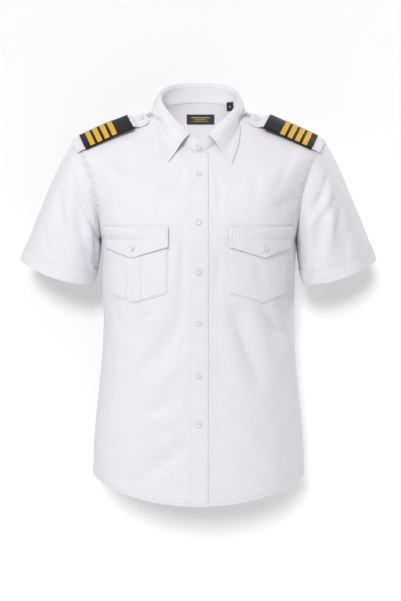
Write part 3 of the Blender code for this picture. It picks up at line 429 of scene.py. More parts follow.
def curve_through(keys: Sequence, values: Sequence | Array, at: Sequence | Array | float) -> Array:
    """A smooth curve through values at keys.

    Args:
        keys: Where the values stand, rising.
        values: One value for each key, a number or an array of any shape.
        at: The places to read.

    Returns:
        The curve's values at those places.
    """
    keys, values = np.asarray(keys, float), np.asarray(values, float)
    places = np.atleast_1d(np.asarray(at, float))
    flat = values.reshape(len(keys), -1)
    steps = np.diff(flat, axis=0) / np.diff(keys)[:, None]
    slopes = np.vstack([steps[:1], (steps[1:] + steps[:-1]) / 2.0, steps[-1:]])
    i = np.clip(np.searchsorted(keys, places, side="right") - 1, 0, len(keys) - 2)
    span = (keys[i + 1] - keys[i])[:, None]
    t = (places - keys[i])[:, None] / span
    found = (
        (1 + 2 * t) * (1 - t) ** 2 * flat[i]
        + t * (1 - t) ** 2 * span * slopes[i]
        + t * t * (3 - 2 * t) * flat[i + 1]
        + t * t * (t - 1) * span * slopes[i + 1]
    ).reshape((len(places), *values.shape[1:]))
    return found if np.ndim(at) else found[0]


def table_curve(table: Sequence[tuple], at: Sequence | Array | float) -> Array:
    """The columns of a table, after its first, as smooth curves of the first."""
    return curve_through([row[0] for row in table], [row[1:] for row in table], at)


def edge_point(v: float, armhole: Sequence[Edge]) -> Array:
    """The outer edge of a half panel at height v: side seam, then armhole, then shoulder seam."""
    if v <= 1.0:
        return table_curve(SIDE_SEAM, v)
    return table_curve(armhole if v <= 2.0 else SHOULDER_SEAM, v)


def row_curve(rows: Sequence[Row], armhole: Sequence[Edge], v: float) -> tuple[Array, Array]:
    """One row from the middle line to the edge.

    Args:
        rows: The table of the panel's rows.
        armhole: The table of its armhole.
        v: The row's height, from 0 at the hem to 3 at the neck.

    Returns:
        Points along the row, and the length along it at each.
    """
    middle_y, middle_z, reach, *turn = table_curve(rows, v)
    start = np.array([0.0, middle_y, middle_z])
    end = edge_point(v, armhole)
    handles = start, start + (reach, 0, 0), end - turn, end
    t = np.linspace(0.0, 1.0, ROW_STEPS)[:, None]
    weights = (1 - t) ** 3, 3 * t * (1 - t) ** 2, 3 * t * t * (1 - t), t**3
    points = sum(w * h for w, h in zip(weights, handles))
    return points, running_length(points)


def running_length(points: Array) -> Array:
    """The length along a line of points, at each of them."""
    return np.concatenate([[0.0], np.cumsum(np.linalg.norm(np.diff(points, axis=0), axis=-1))])


def point_along(points: Array, lengths: Array, along: Array) -> Array:
    """Points at these lengths of a row. Below 0 the row goes on past the middle line."""
    found = [np.interp(np.abs(along), lengths, points[:, i]) for i in range(3)]
    return np.stack([found[0] * np.sign(along), found[1], found[2]], axis=-1)


def even_steps(length: float, step: float, rims: Sequence[float] = (0.5, 1.4, 2.8)) -> Array:
    """Places from 0 to length, an even step apart, with closer ones at both rims."""
    inside = np.linspace(rims[-1], length - rims[-1], max(2, round((length - 2 * rims[-1]) / step) + 1))
    rims = np.asarray(rims, float)
    return np.concatenate([[0.0], rims[:-1], inside, length - rims[-2::-1], [length]])


def even_shares(length: float, step: float, rims: Sequence[float]) -> Array:
    """Shares of a length, an even step apart, with closer ones at both rims."""
    return even_steps(length, step, rims) / length


def grid_normals(points: Array, outward: Sequence | Array, closed: bool = False) -> Array:
    """Unit normals of a grid, on the side that outward points to on the whole."""
    across = np.gradient(points, axis=1)
    if closed:
        across = np.roll(points, -1, axis=1) - np.roll(points, 1, axis=1)
    normals = unit(np.cross(across, np.gradient(points, axis=0)))
    return normals * (1.0 if np.sum(normals * outward) > 0 else -1.0)


def refine(grid: Array, rows: Array | int, columns: Array | int) -> Array:
    """A grid drawn again with more rows and columns, on smooth curves through the same points.

    Args:
        grid: The coarse grid.
        rows: How many rows to draw, or their places in the coarse grid's own count.
        columns: The same for its columns.

    Returns:
        The finer grid.
    """
    places = []
    for wanted, count in ((rows, grid.shape[0]), (columns, grid.shape[1])):
        places.append(np.linspace(0.0, count - 1.0, wanted) if np.ndim(wanted) == 0 else np.asarray(wanted, float))
    tall = curve_through(np.arange(grid.shape[0]), grid, places[0])
    wide = curve_through(np.arange(grid.shape[1]), np.swapaxes(tall, 0, 1), places[1])
    return np.swapaxes(wide, 0, 1)


def fold_rise(folds: Iterable[Fold], points: Array) -> Array:
    """How far the broad folds lift the cloth at these points, in millimetres."""
    rise = np.zeros(points.shape[:-1])
    for fold in folds:
        start = np.array([fold.x0, fold.z0])
        span = np.array([fold.x1, fold.z1]) - start
        offset = points[..., [0, 2]] - start
        t = np.clip(offset @ span / (span @ span), 0.0, 1.0)
        away = np.linalg.norm(offset - t[..., None] * span, axis=-1)
        taper = 0.35 + 0.65 * np.sin(np.pi * (0.12 + 0.76 * t))
        rise += fold.rise * taper * np.exp(-((away / fold.half_width) ** 2))
    return rise


def crease_rise(creases: Iterable[Crease], points: Array) -> Array:
    """How far the finer creases lift the cloth at these points, in millimetres.

    Args:
        creases: The creases, each steeper on its near side, to the right of its direction.
        points: The cloth's points.

    Returns:
        The rise at each point.
    """
    flat = points[..., [0, 2]].reshape(-1, 2)
    rise = np.zeros(len(flat))
    for crease in creases:
        bends = np.reshape(crease.line, (-1, 2))
        steps = np.linspace(0.0, 1.0, CREASE_STEPS)
        line = curve_through(np.linspace(0.0, 1.0, len(bends)), bends, steps)
        close = np.all(np.abs(flat - line.mean(axis=0)) < np.ptp(line, axis=0) / 2 + 3.2 * crease.far, axis=1)
        offset = flat[close][:, None] - line
        nearest = np.argmin(np.sum(offset**2, axis=-1), axis=1)
        pick = offset[np.arange(len(nearest)), nearest]
        along = np.gradient(line, axis=0)[nearest]
        turned = pick[:, 0] * along[:, 1] - pick[:, 1] * along[:, 0]
        width = np.where(turned > 0, crease.near, crease.far)
        taper = np.sin(np.pi * np.clip(0.06 + 0.88 * steps[nearest], 0, 1)) ** 0.8
        uneven = 0.8 + 0.2 * np.sin(9.0 * steps[nearest] + crease.line[0])
        rise[close] += crease.rise * taper * uneven * np.exp(-np.sum(pick**2, axis=1) / width**2)
    return rise.reshape(points.shape[:-1])


def rumple(points: Array, size: float, depth: float, seed: float) -> Array:
    """Slow, uneven waves of this size and depth in millimetres, the same on each run."""
    flat = points.reshape(-1, 3) / size + seed
    return depth * np.array([noise.noise(Vector(p)) for p in flat]).reshape(points.shape[:-1])


def pucker_waves(run: Array, pitch: float = 1.75, sway: float = 2.2, span: float = 21.0) -> Array:
    """Uneven waves from -1 to 1 along a seam, as sewing draws the cloth up."""
    return np.sin(run / pitch + sway * np.sin(run / span))


@dataclass
class Cloth:
    """A surface of cloth, in millimetres.

    points and normals are grids. across and up say where each point lies on its flat cut. marks are
    distances from edges, which the finishes use for seams.
    """

    points: Array
    normals: Array
    across: Array
    up: Array
    marks: dict[str, Array] = field(default_factory=dict)
    closed: bool = False

    def all_round(self) -> Array:
        """The points, with the first column again at the end of a tube."""
        return np.concatenate([self.points, self.points[:, :1]], axis=1) if self.closed else self.points

    def flat(self) -> tuple[float, float]:
        """The width and length of the flat cut in metres: the longest runs across and up."""
        width, length = (np.linalg.norm(np.diff(self.all_round(), axis=k), axis=-1).sum(axis=k).max() for k in (1, 0))
        return float(width) * MM, float(length) * MM

    def area(self) -> float:
        """The surface's area in square metres."""
        p = self.all_round()
        first = np.cross(p[1:, :-1] - p[:-1, :-1], p[:-1, 1:] - p[:-1, :-1])
        second = np.cross(p[1:, :-1] - p[1:, 1:], p[:-1, 1:] - p[1:, 1:])
        return float((np.linalg.norm(first, axis=-1) + np.linalg.norm(second, axis=-1)).sum() / 2) * MM * MM

    def tree(self) -> BVHTree:
        """A search tree over the surface."""
        return tree_of(self.points)

    def line(self, mark: str, distance: float, low: float = -1e9, high: float = 1e9) -> tuple[Array, Array]:
        """The points where a mark has this distance, one in each row or column that reaches it.

        Args:
            mark: The mark's name. Marks that end in _row are read along rows, and others up columns.
            distance: The distance in millimetres.
            low: The lowest place along the line, by row or column number.
            high: The highest place along it.

        Returns:
            Points and normals along the line.
        """
        grids = self.marks[mark], self.points, self.normals
        if not mark.endswith("_row"):
            grids = tuple(np.swapaxes(grid, 0, 1) for grid in grids)
        found: list[list[Array]] = [[], []]
        for k, line in enumerate(grids[0]):
            order = np.argsort(line)
            keys = line[order]
            if low <= k <= high and keys[0] <= distance <= keys[-1]:
                for spots, grid in zip(found, grids[1:]):
                    spots.append(np.array([np.interp(distance, keys, grid[k, order, i]) for i in range(3)]))
        return np.array(found[0]), unit(found[1])


def lifted(grid: Array, normals: Array, lift: Array, across: Array, up: Array) -> Cloth:
    """A surface moved out along its normals, with its normals worked out again."""
    points = grid + lift[..., None] * normals
    return Cloth(points, grid_normals(points, normals), across, up)


def half_panel(rows: Sequence[Row], armhole: Sequence[Edge], v: float, places: PlacesOf) -> tuple[Array, Array]:
    """One row of a panel: its points, and their distances along it. places takes the row's length."""
    line, lengths = row_curve(rows, armhole, v)
    along = places(lengths[-1])
    return point_along(line, lengths, along), along


def tree_of(*grids: Array) -> BVHTree:
    """A search tree over grids of points."""
    verts: list[Vector] = []
    faces: list[tuple[int, ...]] = []
    for grid in grids:
        rows, columns = grid.shape[:2]
        first = len(verts)
        verts += [Vector(p) for p in grid.reshape(-1, 3)]
        corner = (first + np.arange(rows - 1)[:, None] * columns + np.arange(columns - 1)).ravel()
        faces += list(zip(corner, corner + 1, corner + columns + 1, corner + columns))
    return BVHTree.FromPolygons(verts, faces)


def drop(tree: BVHTree, point: Array, direction: Array) -> tuple[Array, Array]:
    """Where a line from point in this direction first meets the tree, and the normal there."""
    place, normal, _, _ = tree.ray_cast(Vector(point), Vector(direction))
    if place is None:
        place, normal, _, _ = tree.find_nearest(Vector(point))
    turned = np.array(normal)
    return np.array(place), -turned if turned @ np.asarray(direction, float) > 0 else turned


def rest_on(tree: BVHTree, points: Array, clearance: float, outward: Array) -> Array:
    """Points moved out wherever they are closer to the tree's surface than clearance."""
    moved = points.copy()
    for index in np.ndindex(points.shape[:-1]):
        place, normal, _, _ = tree.find_nearest(Vector(points[index]))
        turned = np.array(normal)
        if turned @ outward[index] < 0:
            turned = -turned
        height = (points[index] - np.array(place)) @ turned
        if height < clearance:
            moved[index] = points[index] + (clearance - height) * turned
    return moved


def join_seams(cloths: Sequence[Cloth], roll: float, width: float) -> None:
    """Gives cloths the same normal wherever their borders share a point, and rolls them in there.

    Args:
        cloths: The cloths. Their mark seam is the distance from the nearest seam.
        roll: How deep the cloth turns in at a seam, in millimetres.
        width: How far from the seam the turn begins.
    """
    sums: dict[tuple, Array] = {}
    places: list[tuple[Cloth, tuple[int, int], tuple]] = []
    for cloth in cloths:
        rows, columns = cloth.points.shape[:2]
        borders = {(i, j) for i in (0, rows - 1) for j in range(columns)}
        if not cloth.closed:
            borders |= {(i, j) for i in range(rows) for j in (0, columns - 1)}
        for spot in sorted(borders):
            key = tuple(np.round(cloth.points[spot], 1) + 0.0)
            sums[key] = sums.get(key, np.zeros(3)) + cloth.normals[spot]
            places.append((cloth, spot, key))
    for cloth, spot, key in places:
        cloth.normals[spot] = unit(sums[key])
    for cloth in cloths:
        inward = roll * (1.0 - smooth(cloth.marks["seam"] / width))
        cloth.points -= inward[..., None] * cloth.normals


# Shader maths


TURN = 2.0 * math.pi


class Wire:
    """A shader socket that can stand in an expression. Each operator adds one Math node."""

    def __init__(self, graph: Graph, socket: bpy.types.NodeSocket) -> None:
        """Keeps the socket and the graph it belongs to."""
        self.graph = graph
        self.socket = socket

    def math(self, operation: str, *values: Wire | float, first: Wire | float | None = None) -> Wire:
        """The result of one Math node.

        Args:
            operation: The Math node's operation.
            values: Its other inputs.
            first: What stands before this wire, for the reflected forms.

        Returns:
            The node's output.
        """
        inputs = (self, *values) if first is None else (first, self)
        made = self.graph.node("ShaderNodeMath", {"operation": operation}, dict(enumerate(inputs)))
        return Wire(self.graph, made.outputs[0])

    def __add__(self, other: Wire | float) -> Wire:
        """self + other."""
        return self.math("ADD", other)

    def __radd__(self, other: float) -> Wire:
        """other + self."""
        return self.math("ADD", first=other)

    def __sub__(self, other: Wire | float) -> Wire:
        """self - other."""
        return self.math("SUBTRACT", other)

    def __rsub__(self, other: float) -> Wire:
        """other - self."""
        return self.math("SUBTRACT", first=other)

    def __mul__(self, other: Wire | float) -> Wire:
        """self * other."""
        return self.math("MULTIPLY", other)

    def __rmul__(self, other: float) -> Wire:
        """other * self."""
        return self.math("MULTIPLY", first=other)

    def __truediv__(self, other: Wire | float) -> Wire:
        """self / other."""
        return self.math("DIVIDE", other)

    def sine(self) -> Wire:
        """The sine of this wire."""
        return self.math("SINE")

    def clamped(self) -> Wire:
        """This wire, kept from 0 to 1."""
        return self.math("MINIMUM", 1.0).math("MAXIMUM", 0.0)

    def bell(self, place: float, width: float) -> Wire:
        """1 where this wire is at place, falling softly to 0 about two widths away."""
        off = (self - place) / width
        return (off * off * -1.0).math("EXPONENT")


class Graph:
    """The node graph of one material, or of the world."""

    def __init__(self, name: str, owner: bpy.types.World | None = None) -> None:
        """Empties the graph of a new material with this name, or of the given world."""
        self.owner = owner or bpy.data.materials.new(name)
        self.owner.use_nodes = True
        self.tree = self.owner.node_tree
        self.tree.nodes.clear()

    def node(
        self,
        kind: str,
        settings: Mapping[str, object] | None = None,
        sockets: Mapping[str | int, object] | None = None,
    ) -> bpy.types.Node:
        """Adds a node.

        Args:
            kind: The node's type.
            settings: Its own settings.
            sockets: Values, wires or sockets for its inputs, by name or number.

        Returns:
            The node.
        """
        made = self.tree.nodes.new(kind)
        for key, value in (settings or {}).items():
            setattr(made, key, value)
        for key, value in (sockets or {}).items():
            value = value.socket if isinstance(value, Wire) else value
            if isinstance(value, bpy.types.NodeSocket):
                self.tree.links.new(value, made.inputs[key])
            else:
                made.inputs[key].default_value = value
        return made

    def wire(self, node: bpy.types.Node, output: str | int = 0) -> Wire:
        """One output of a node, for expressions."""
        return Wire(self, node.outputs[output])

    def mark(self, name: str) -> Wire:
        """A distance in millimetres that the mesh carries."""
        return self.wire(self.node("ShaderNodeAttribute", {"attribute_name": name}), "Fac")

    def space(self, coordinate: str = "Object") -> list[Wire]:
        """x, y and z in the object's own space, or in another one."""
        place = self.node("ShaderNodeTexCoord").outputs[coordinate]
        parts = self.node("ShaderNodeSeparateXYZ", sockets={0: place})
        return [self.wire(parts, i) for i in range(3)]

    def cut(self) -> tuple[Wire, Wire]:
        """Where a point lies on its flat cut, across and up, in millimetres."""
        flat = self.node("ShaderNodeUVMap", {"uv_map": "cut"})
        parts = self.node("ShaderNodeSeparateXYZ", sockets={0: flat.outputs[0]})
        return self.wire(parts, 0) * 1000.0, self.wire(parts, 1) * 1000.0

    def noise(self, size: float, detail: float = 2.0, stretch: Triple = (1.0, 1.0, 1.0)) -> Wire:
        """Noise from -1 to 1 with features of this size in millimetres, fixed to the cloth in space."""
        place = self.node("ShaderNodeTexCoord").outputs["Object"]
        scaled = self.node(
            "ShaderNodeVectorMath", {"operation": "MULTIPLY"}, {0: place, 1: tuple(1000.0 / size / s for s in stretch)}
        )
        made = self.node("ShaderNodeTexNoise", sockets={"Vector": scaled.outputs[0], "Scale": 1.0, "Detail": detail})
        return (self.wire(made, 0) - 0.5) * 2.0

    def blend(self, factor: Wire | float, first: object, second: object) -> bpy.types.NodeSocket:
        """A colour between two, by a factor."""
        first, second = ((*c, 1.0) if isinstance(c, tuple) and len(c) == 3 else c for c in (first, second))
        made = self.node("ShaderNodeMix", {"data_type": "RGBA"}, {0: factor, 6: first, 7: second})
        return made.outputs[2]

    def finish(self, height: Wire | None, **sockets: object) -> bpy.types.Material:
        """Closes the graph with a Principled shader.

        Args:
            height: The bump in millimetres, or None for a smooth surface.
            sockets: The shader's inputs, with _ for the spaces in their names.

        Returns:
            The material.
        """
        inputs = {name.replace("_", " "): value for name, value in sockets.items()}
        if height is not None:
            bump = self.node("ShaderNodeBump", sockets={"Strength": 1.0, "Distance": MM, "Height": height})
            inputs["Normal"] = bump.outputs[0]
        shader = self.node("ShaderNodeBsdfPrincipled", sockets=inputs)
        self.node("ShaderNodeOutputMaterial", sockets={0: shader.outputs[0]})
        return self.owner


class Seam(NamedTuple):
    """A sewn line on a finish: the mark it is read from, its distance, width, depth, way, puckers and tone, which is
    how far painted shade darkens the line.
    """

    mark: str
    place: float
    width: float = 0.9
    depth: float = 0.35
    run: str = "across"
    pucker: float = 0.12
    # tone: how far painted shade darkens the sewn line's colour
    tone: float = 0.30


@dataclass(frozen=True)
class Poplin:
    """White cotton poplin: a fine even weave with faint slubs, sewn lines darkened with painted shade in their
    grooves, and the puckers beside them.
    """

    colour: Triple = (0.815, 0.800, 0.842)
    shade: Triple = (0.768, 0.752, 0.795)
    # Painted shade for the grooves of sewn lines
    crease: Triple = (0.56, 0.55, 0.60)
    pucker_turns: float = 1.0
    roughness: float = 0.78
    thread_pitch: float = 0.55
    stitch_pitch: float = 3.0

    def make(self, name: str, seams: Sequence[Seam] = (), rumple_depth: float = 0.30) -> bpy.types.Material:
        """Makes the material of one piece.

        Args:
            name: The material's name.
            seams: The sewn lines on the piece.
            rumple_depth: How deep the small soft rumples are, in millimetres.

        Returns:
            The material.
        """
        graph = Graph(name)
        across, up = graph.cut()
        turns = TURN / self.thread_pitch
        weave = (across * turns).sine() * (up * turns).sine()
        slubs = graph.noise(2.3, 2.0, (1.0, 1.0, 12.0)) + graph.noise(2.3, 2.0, (12.0, 12.0, 1.0))
        height = weave * 0.006 + slubs * 0.03
        height = height + graph.noise(24.0, 2.0) * rumple_depth + graph.noise(7.5, 2.0) * (rumple_depth * 0.30)
        seam_shade: Wire | None = None
        for seam in seams:
            distance = graph.mark(seam.mark)
            line = distance.bell(seam.place, seam.width)
            run = up if seam.run == "up" else across
            dashes = (run * (TURN / self.stitch_pitch)).sine() * 0.3 + 0.7
            beside = distance.bell(seam.place + 1.5, 4.6)
            pucker = (run * self.pucker_turns + graph.noise(11.0, 1.0) * 3.5).sine() * beside
            height = height - line * dashes * seam.depth + pucker * seam.pucker
            # Painted shade: each sewn line darkens the colour towards the groove shade by its tone
            line_shade = line * seam.tone
            seam_shade = line_shade if seam_shade is None else seam_shade.math("MAXIMUM", line_shade)
        tone = (graph.noise(38.0, 3.0) * 0.5 + slubs * 0.30 + 0.30).clamped()
        colour = graph.blend(tone, self.colour, self.shade)
        # Painted shade along the sewn lines
        if seam_shade is not None:
            colour = graph.blend(seam_shade, colour, self.crease)
        return graph.finish(
            height,
            Base_Color=colour,
            Roughness=slubs * 0.03 + self.roughness,
            Sheen_Weight=0.12,
            Sheen_Roughness=0.5,
            Specular_IOR_Level=0.28,
        )


@dataclass(frozen=True)
class BlackTwill:
    """Black woven cloth with a fine slanting twill."""

    colour: Triple = (0.0075, 0.0078, 0.0095)
    worn: Triple = (0.017, 0.018, 0.021)

    def make(self, name: str) -> bpy.types.Material:
        """Makes the material."""
        graph = Graph(name)
        across, up = graph.cut()
        wale = ((across + up) * (TURN / 1.1)).sine()
        yarn = ((across - up) * (TURN / 0.6)).sine()
        lint = graph.noise(2.2, 3.0)
        height = wale * 0.05 + yarn * 0.02 + lint * 0.03
        tone = (wale * 0.25 + lint * 0.5 + 0.3).clamped()
        return graph.finish(
            height,
            Base_Color=graph.blend(tone, self.colour, self.worn),
            Roughness=lint * 0.05 + 0.82,
            Sheen_Weight=0.25,
            Sheen_Roughness=0.4,
            Specular_IOR_Level=0.3,
        )


@dataclass(frozen=True)
class GoldBraid:
    """Gold braid: bright flat threads laid over ribs, with painted shade in the hollows between them and painted
    glints in random patches.
    """

    thread: Triple = (0.96, 0.63, 0.055)
    # The hollows' colour is painted shade, and the glint colour is a painted highlight
    hollow_shade: Triple = (0.60, 0.28, 0.015)
    glint: Triple = (1.0, 0.88, 0.28)

    def make(self, name: str) -> bpy.types.Material:
        """Makes the material."""
        graph = Graph(name)
        across, up = graph.cut()
        rib = (across * (TURN / 1.5)).sine()
        slant = ((up * 2.0 + across) * (TURN / 2.6)).sine()
        patch = graph.noise(3.4, 3.0)
        height = rib * 0.07 + slant * 0.08 + patch * 0.04
        # Painted shade: darker where the ribs and slanting threads sink
        deep = (0.45 - slant * 0.35 - rib * 0.2 + patch * 0.35).clamped()
        # Painted glints: random patches, and the slanting threads a little, turn brighter
        bright = (patch * 1.4 + slant * 0.3 - 0.35).clamped()
        colour = graph.blend(deep, self.thread, self.hollow_shade)
        return graph.finish(
            height,
            Base_Color=graph.blend(bright * 0.7, colour, self.glint),
            Metallic=0.12,
            Roughness=0.46 + patch * 0.08,
        )


@dataclass(frozen=True)
class PearlButton:
    """White moulded button with a faint pearl cloud."""

    colour: Triple = (0.82, 0.815, 0.85)
    cloud: Triple = (0.75, 0.745, 0.785)

    def make(self, name: str) -> bpy.types.Material:
        """Makes the material."""
        graph = Graph(name)
        cloud = graph.noise(3.0, 3.0)
        return graph.finish(
            cloud * 0.01,
            Base_Color=graph.blend((cloud + 0.4).clamped(), self.colour, self.cloud),
            Roughness=0.24 + cloud * 0.04,
            Coat_Weight=0.35,
            Coat_Roughness=0.12,
        )


@dataclass(frozen=True)
class Thread:
    """White sewing thread with its twist."""

    colour: Triple = (0.86, 0.855, 0.89)
    dark: Triple = (0.72, 0.715, 0.76)

    def make(self, name: str) -> bpy.types.Material:
        """Makes the material."""
        graph = Graph(name)
        twist = graph.noise(0.6, 1.0)
        return graph.finish(
            twist * 0.03,
            Base_Color=graph.blend((twist + 0.3).clamped(), self.colour, self.dark),
            Roughness=0.55,
            Sheen_Weight=0.1,
        )


@dataclass(frozen=True)
class LabelSatin:
    """Black woven satin. rules are plain gold lines, by height up the label in millimetres."""

    ground: Triple = (0.006, 0.0055, 0.006)
    gold: Triple = (0.60, 0.40, 0.10)

    def make(self, name: str, rules: Sequence[Triple] = ()) -> bpy.types.Material:
        """Makes the material.

        Args:
            name: The material's name.
            rules: Each line's height, half its length and half its thickness, in millimetres.

        Returns:
            The material.
        """
        graph = Graph(name)
        across, up = graph.cut()
        weft = (up * (TURN / 0.45)).sine()
        warp = (across * (TURN / 0.7)).sine()
        drawn: Wire | None = None
        for height, half_length, half_thick in rules:
            inside = 1.0 - ((up - height).math("ABSOLUTE") - half_thick).math("GREATER_THAN", 0.0)
            inside = inside * (1.0 - across.math("ABSOLUTE").math("GREATER_THAN", half_length))
            drawn = inside if drawn is None else drawn.math("MAXIMUM", inside)
        ground = graph.blend((weft * 0.3 + 0.3).clamped(), self.ground, tuple(2.2 * c for c in self.ground))
        colour = ground if drawn is None else graph.blend(drawn, ground, self.gold)
        relief = weft * 0.02 + warp * 0.015
        return graph.finish(
            relief if drawn is None else relief + drawn * 0.12,
            Base_Color=colour,
            Roughness=0.5,
            Sheen_Weight=0.1,
        )


# Making and dressing pieces


def dress(piece: Object3D, material: bpy.types.Material, slot: Slot, *nodes: str) -> Object3D:
    """Gives a piece its finish and its place in the frame.

    Args:
        piece: The piece.
        material: Its finish.
        slot: Not used.
        nodes: The solids that it stands for.

    Returns:
        The piece.
    """
    if not piece.data.materials:
        piece.data.materials.append(material)
    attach(piece, "root")
    if nodes:
        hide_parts(*nodes)
    LOG.info("%s: %d faces", piece.name, len(piece.data.polygons))
    return piece


def declare(piece: Object3D, cloth: Cloth, held: Held, rests_on: str, *on_it: Object3D) -> None:
    """Works out the flat cut and the area of a piece's cloth, and keeps neither.

    Args:
        piece: Not used.
        cloth: Its outer surface.
        held: Not used.
        rests_on: Not used.
        on_it: Not used.
    """
    width, length = cloth.flat()
    min(cloth.area(), width * length)


def make_sheet(
    stem: str, cloth: Cloth, wall: Array | float, finish: Poplin, seams: Sequence[Seam], held: Held,
    rests_on: str, rumple_depth: float = 0.30, node: str = "",
) -> None:
    """Makes and dresses one sheet of poplin.

    Args:
        stem: What its name and its finish's name begin with.
        cloth: Its outer surface.
        wall: How thick it is, in millimetres.
        finish: The poplin.
        seams: The sewn lines on it.
        held: Not used.
        rests_on: Not used.
        rumple_depth: How deep its small soft rumples are.
        node: The solid that it stands for, where that isn't the stem.
    """
    piece = shell(f"{stem}_cloth", cloth, wall)
    dress(piece, finish.make(f"{stem}_poplin", seams, rumple_depth), Slot.POPLIN, node or stem)
    declare(piece, cloth, held, rests_on)


def mesh_of(work: bmesh.types.BMesh, mesh: bpy.types.Mesh | None = None) -> bpy.types.Mesh:
    """Writes an edited mesh, with its faces all turned outward, into the given mesh or a new one."""
    bmesh.ops.recalc_face_normals(work, faces=work.faces)
    mesh = mesh or bpy.data.meshes.new("form")
    work.to_mesh(mesh)
    work.free()
    return mesh


def in_order(name: str, mesh: bpy.types.Mesh) -> bpy.types.Mesh:
    """The same form with its points and faces in a fixed order, which a boolean leaves to chance."""
    points = np.array([vertex.co for vertex in mesh.vertices])
    order = np.lexsort(points.T)
    rank = np.argsort(order)
    rings = [rank[list(face.vertices)].tolist() for face in mesh.polygons]
    rings = sorted(ring[ring.index(min(ring)):] + ring[:ring.index(min(ring))] for ring in rings)
    made = bpy.data.meshes.new(name)
    made.from_pydata(points[order].tolist(), [], rings)
    return made


def placed(name: str, data: bpy.types.ID) -> Object3D:
    """A new object that holds this data, linked to the scene."""
    made = bpy.data.objects.new(name, data)
    bpy.context.scene.collection.objects.link(made)
    return made


def object_from(name: str, points: Array, faces: Sequence, sharp: float = 50.0) -> Object3D:
    """An object from points in millimetres.

    Args:
        name: The object's name.
        points: One row for each vertex.
        faces: The faces' vertex numbers.
        sharp: Edges that turn more than this many degrees stay sharp.

    Returns:
        The new object, linked to the scene.
    """
    mesh = bpy.data.meshes.new(name)
    mesh.from_pydata((np.asarray(points, float) * MM).tolist(), [], [tuple(f) for f in faces])
    work = bmesh.new()
    work.from_mesh(mesh)
    mesh_of(work, mesh)
    mesh.shade_smooth()
    mesh.set_sharp_from_angle(angle=math.radians(sharp))
    return placed(name, mesh)


def shell(name: str, cloth: Cloth, thickness: Array | float, inner: Array | None = None) -> Object3D:
    """A closed wall of cloth whose outside is the given surface.

    Args:
        name: The object's name.
        cloth: The outer surface.
        thickness: The wall in millimetres, one number or one for each point.
        inner: The inner surface, where it isn't just the outer one moved in.

    Returns:
        The wall, with its cut as UVs and its marks as attributes.
    """
    rows, columns = cloth.points.shape[:2]
    depth = np.broadcast_to(thickness, (rows, columns))[..., None]
    inside = cloth.points - depth * cloth.normals if inner is None else inner
    points = np.concatenate([cloth.points.reshape(-1, 3), inside.reshape(-1, 3)])
    shift = rows * columns
    last = columns if cloth.closed else columns - 1
    j, i = np.meshgrid(np.arange(last), np.arange(rows - 1))
    k = (j + 1) % columns
    a, b, c, d = (x.ravel() for x in (i * columns + j, i * columns + k, (i + 1) * columns + k, (i + 1) * columns + j))
    faces = [np.stack([a, b, c, d], 1), np.stack([a, d, c, b], 1) + shift]
    j = np.arange(last)
    k = (j + 1) % columns
    for row, flip in ((0, True), (rows - 1, False)):
        a, b = row * columns + j, row * columns + k
        a, b = (b, a) if flip else (a, b)
        faces.append(np.stack([a, b, b + shift, a + shift], 1))
    if not cloth.closed:
        i = np.arange(rows - 1)
        for column, flip in ((0, False), (columns - 1, True)):
            a, b = i * columns + column, (i + 1) * columns + column
            a, b = (b, a) if flip else (a, b)
            faces.append(np.stack([a, b, b + shift, a + shift], 1))
    made = object_from(name, points, np.concatenate(faces).tolist())
    mesh = made.data
    corners = np.empty(len(mesh.loops), int)
    mesh.loops.foreach_get("vertex_index", corners)
    flat = np.stack([cloth.across.ravel(), cloth.up.ravel()], 1) * MM
    layer = mesh.uv_layers.new(name="cut")
    layer.data.foreach_set("uv", np.concatenate([flat, flat])[corners].astype(np.float32).ravel())
    for mark, values in cloth.marks.items():
        layer = mesh.attributes.new(mark, "FLOAT", "POINT")
        layer.data.foreach_set("value", np.concatenate([values.ravel(), values.ravel()]).astype(np.float32))
    return made


# Lines across a stitch: share of its length, share of its width, and how far they dip in
STITCH_LINES = ((0.0, 0.45, 0.16), (0.25, 1.0, 0.0), (0.75, 1.0, 0.0), (1.0, 0.45, 0.16))


@dataclass
class Sewing:
    """Collects lines of stitches, and makes them as one piece of short threads."""

    name: str
    pitch: float = 3.0
    length: float = 2.1
    width: float = 0.42
    points: list[Array] = field(default_factory=list)
    faces: list[tuple[int, ...]] = field(default_factory=list)

    def run(self, line: tuple[Array, Array], lift: float = 0.05) -> None:
        """Sews along a line.

        Args:
            line: Points and normals along it.
            lift: How far the threads' middle stands over the points, in millimetres.
        """
        points, normals = line
        if len(points) < 2:
            return
        lengths = running_length(points)
        count = int(lengths[-1] / self.pitch)
        for k in range(count):
            ends = (k + 0.5) * self.pitch + np.array([-0.5, 0.5]) * self.length
            spots = np.stack([np.interp(ends, lengths, points[:, i]) for i in range(3)], axis=-1)
            normal = unit([np.interp(ends.mean(), lengths, normals[:, i]) for i in range(3)])
            self.stitch(spots[0] + lift * normal, spots[1] + lift * normal, normal)

    def stitch(self, start: Array, end: Array, normal: Array) -> None:
        """Adds one stitch, a short thread that dips into the cloth at both ends."""
        along = end - start
        side = unit(np.cross(along, normal)) * self.width / 2.0
        first = len(self.points)
        for share, size, dip in STITCH_LINES:
            middle = start + share * along - dip * normal
            top = middle + 0.6 * self.width * size * normal
            self.points += [middle - size * side, top, middle + size * side]
        for k in range(3):
            a = first + 3 * k
            self.faces += [(a, a + 1, a + 4, a + 3), (a + 1, a + 2, a + 5, a + 4), (a + 2, a, a + 3, a + 5)]
        self.faces += [(first, first + 2, first + 1), (first + 9, first + 10, first + 11)]

    def make(self, material: bpy.types.Material) -> Object3D:
        """Makes the piece."""
        return dress(object_from(self.name, np.array(self.points), self.faces, 80.0), material, Slot.POPLIN)


# The body


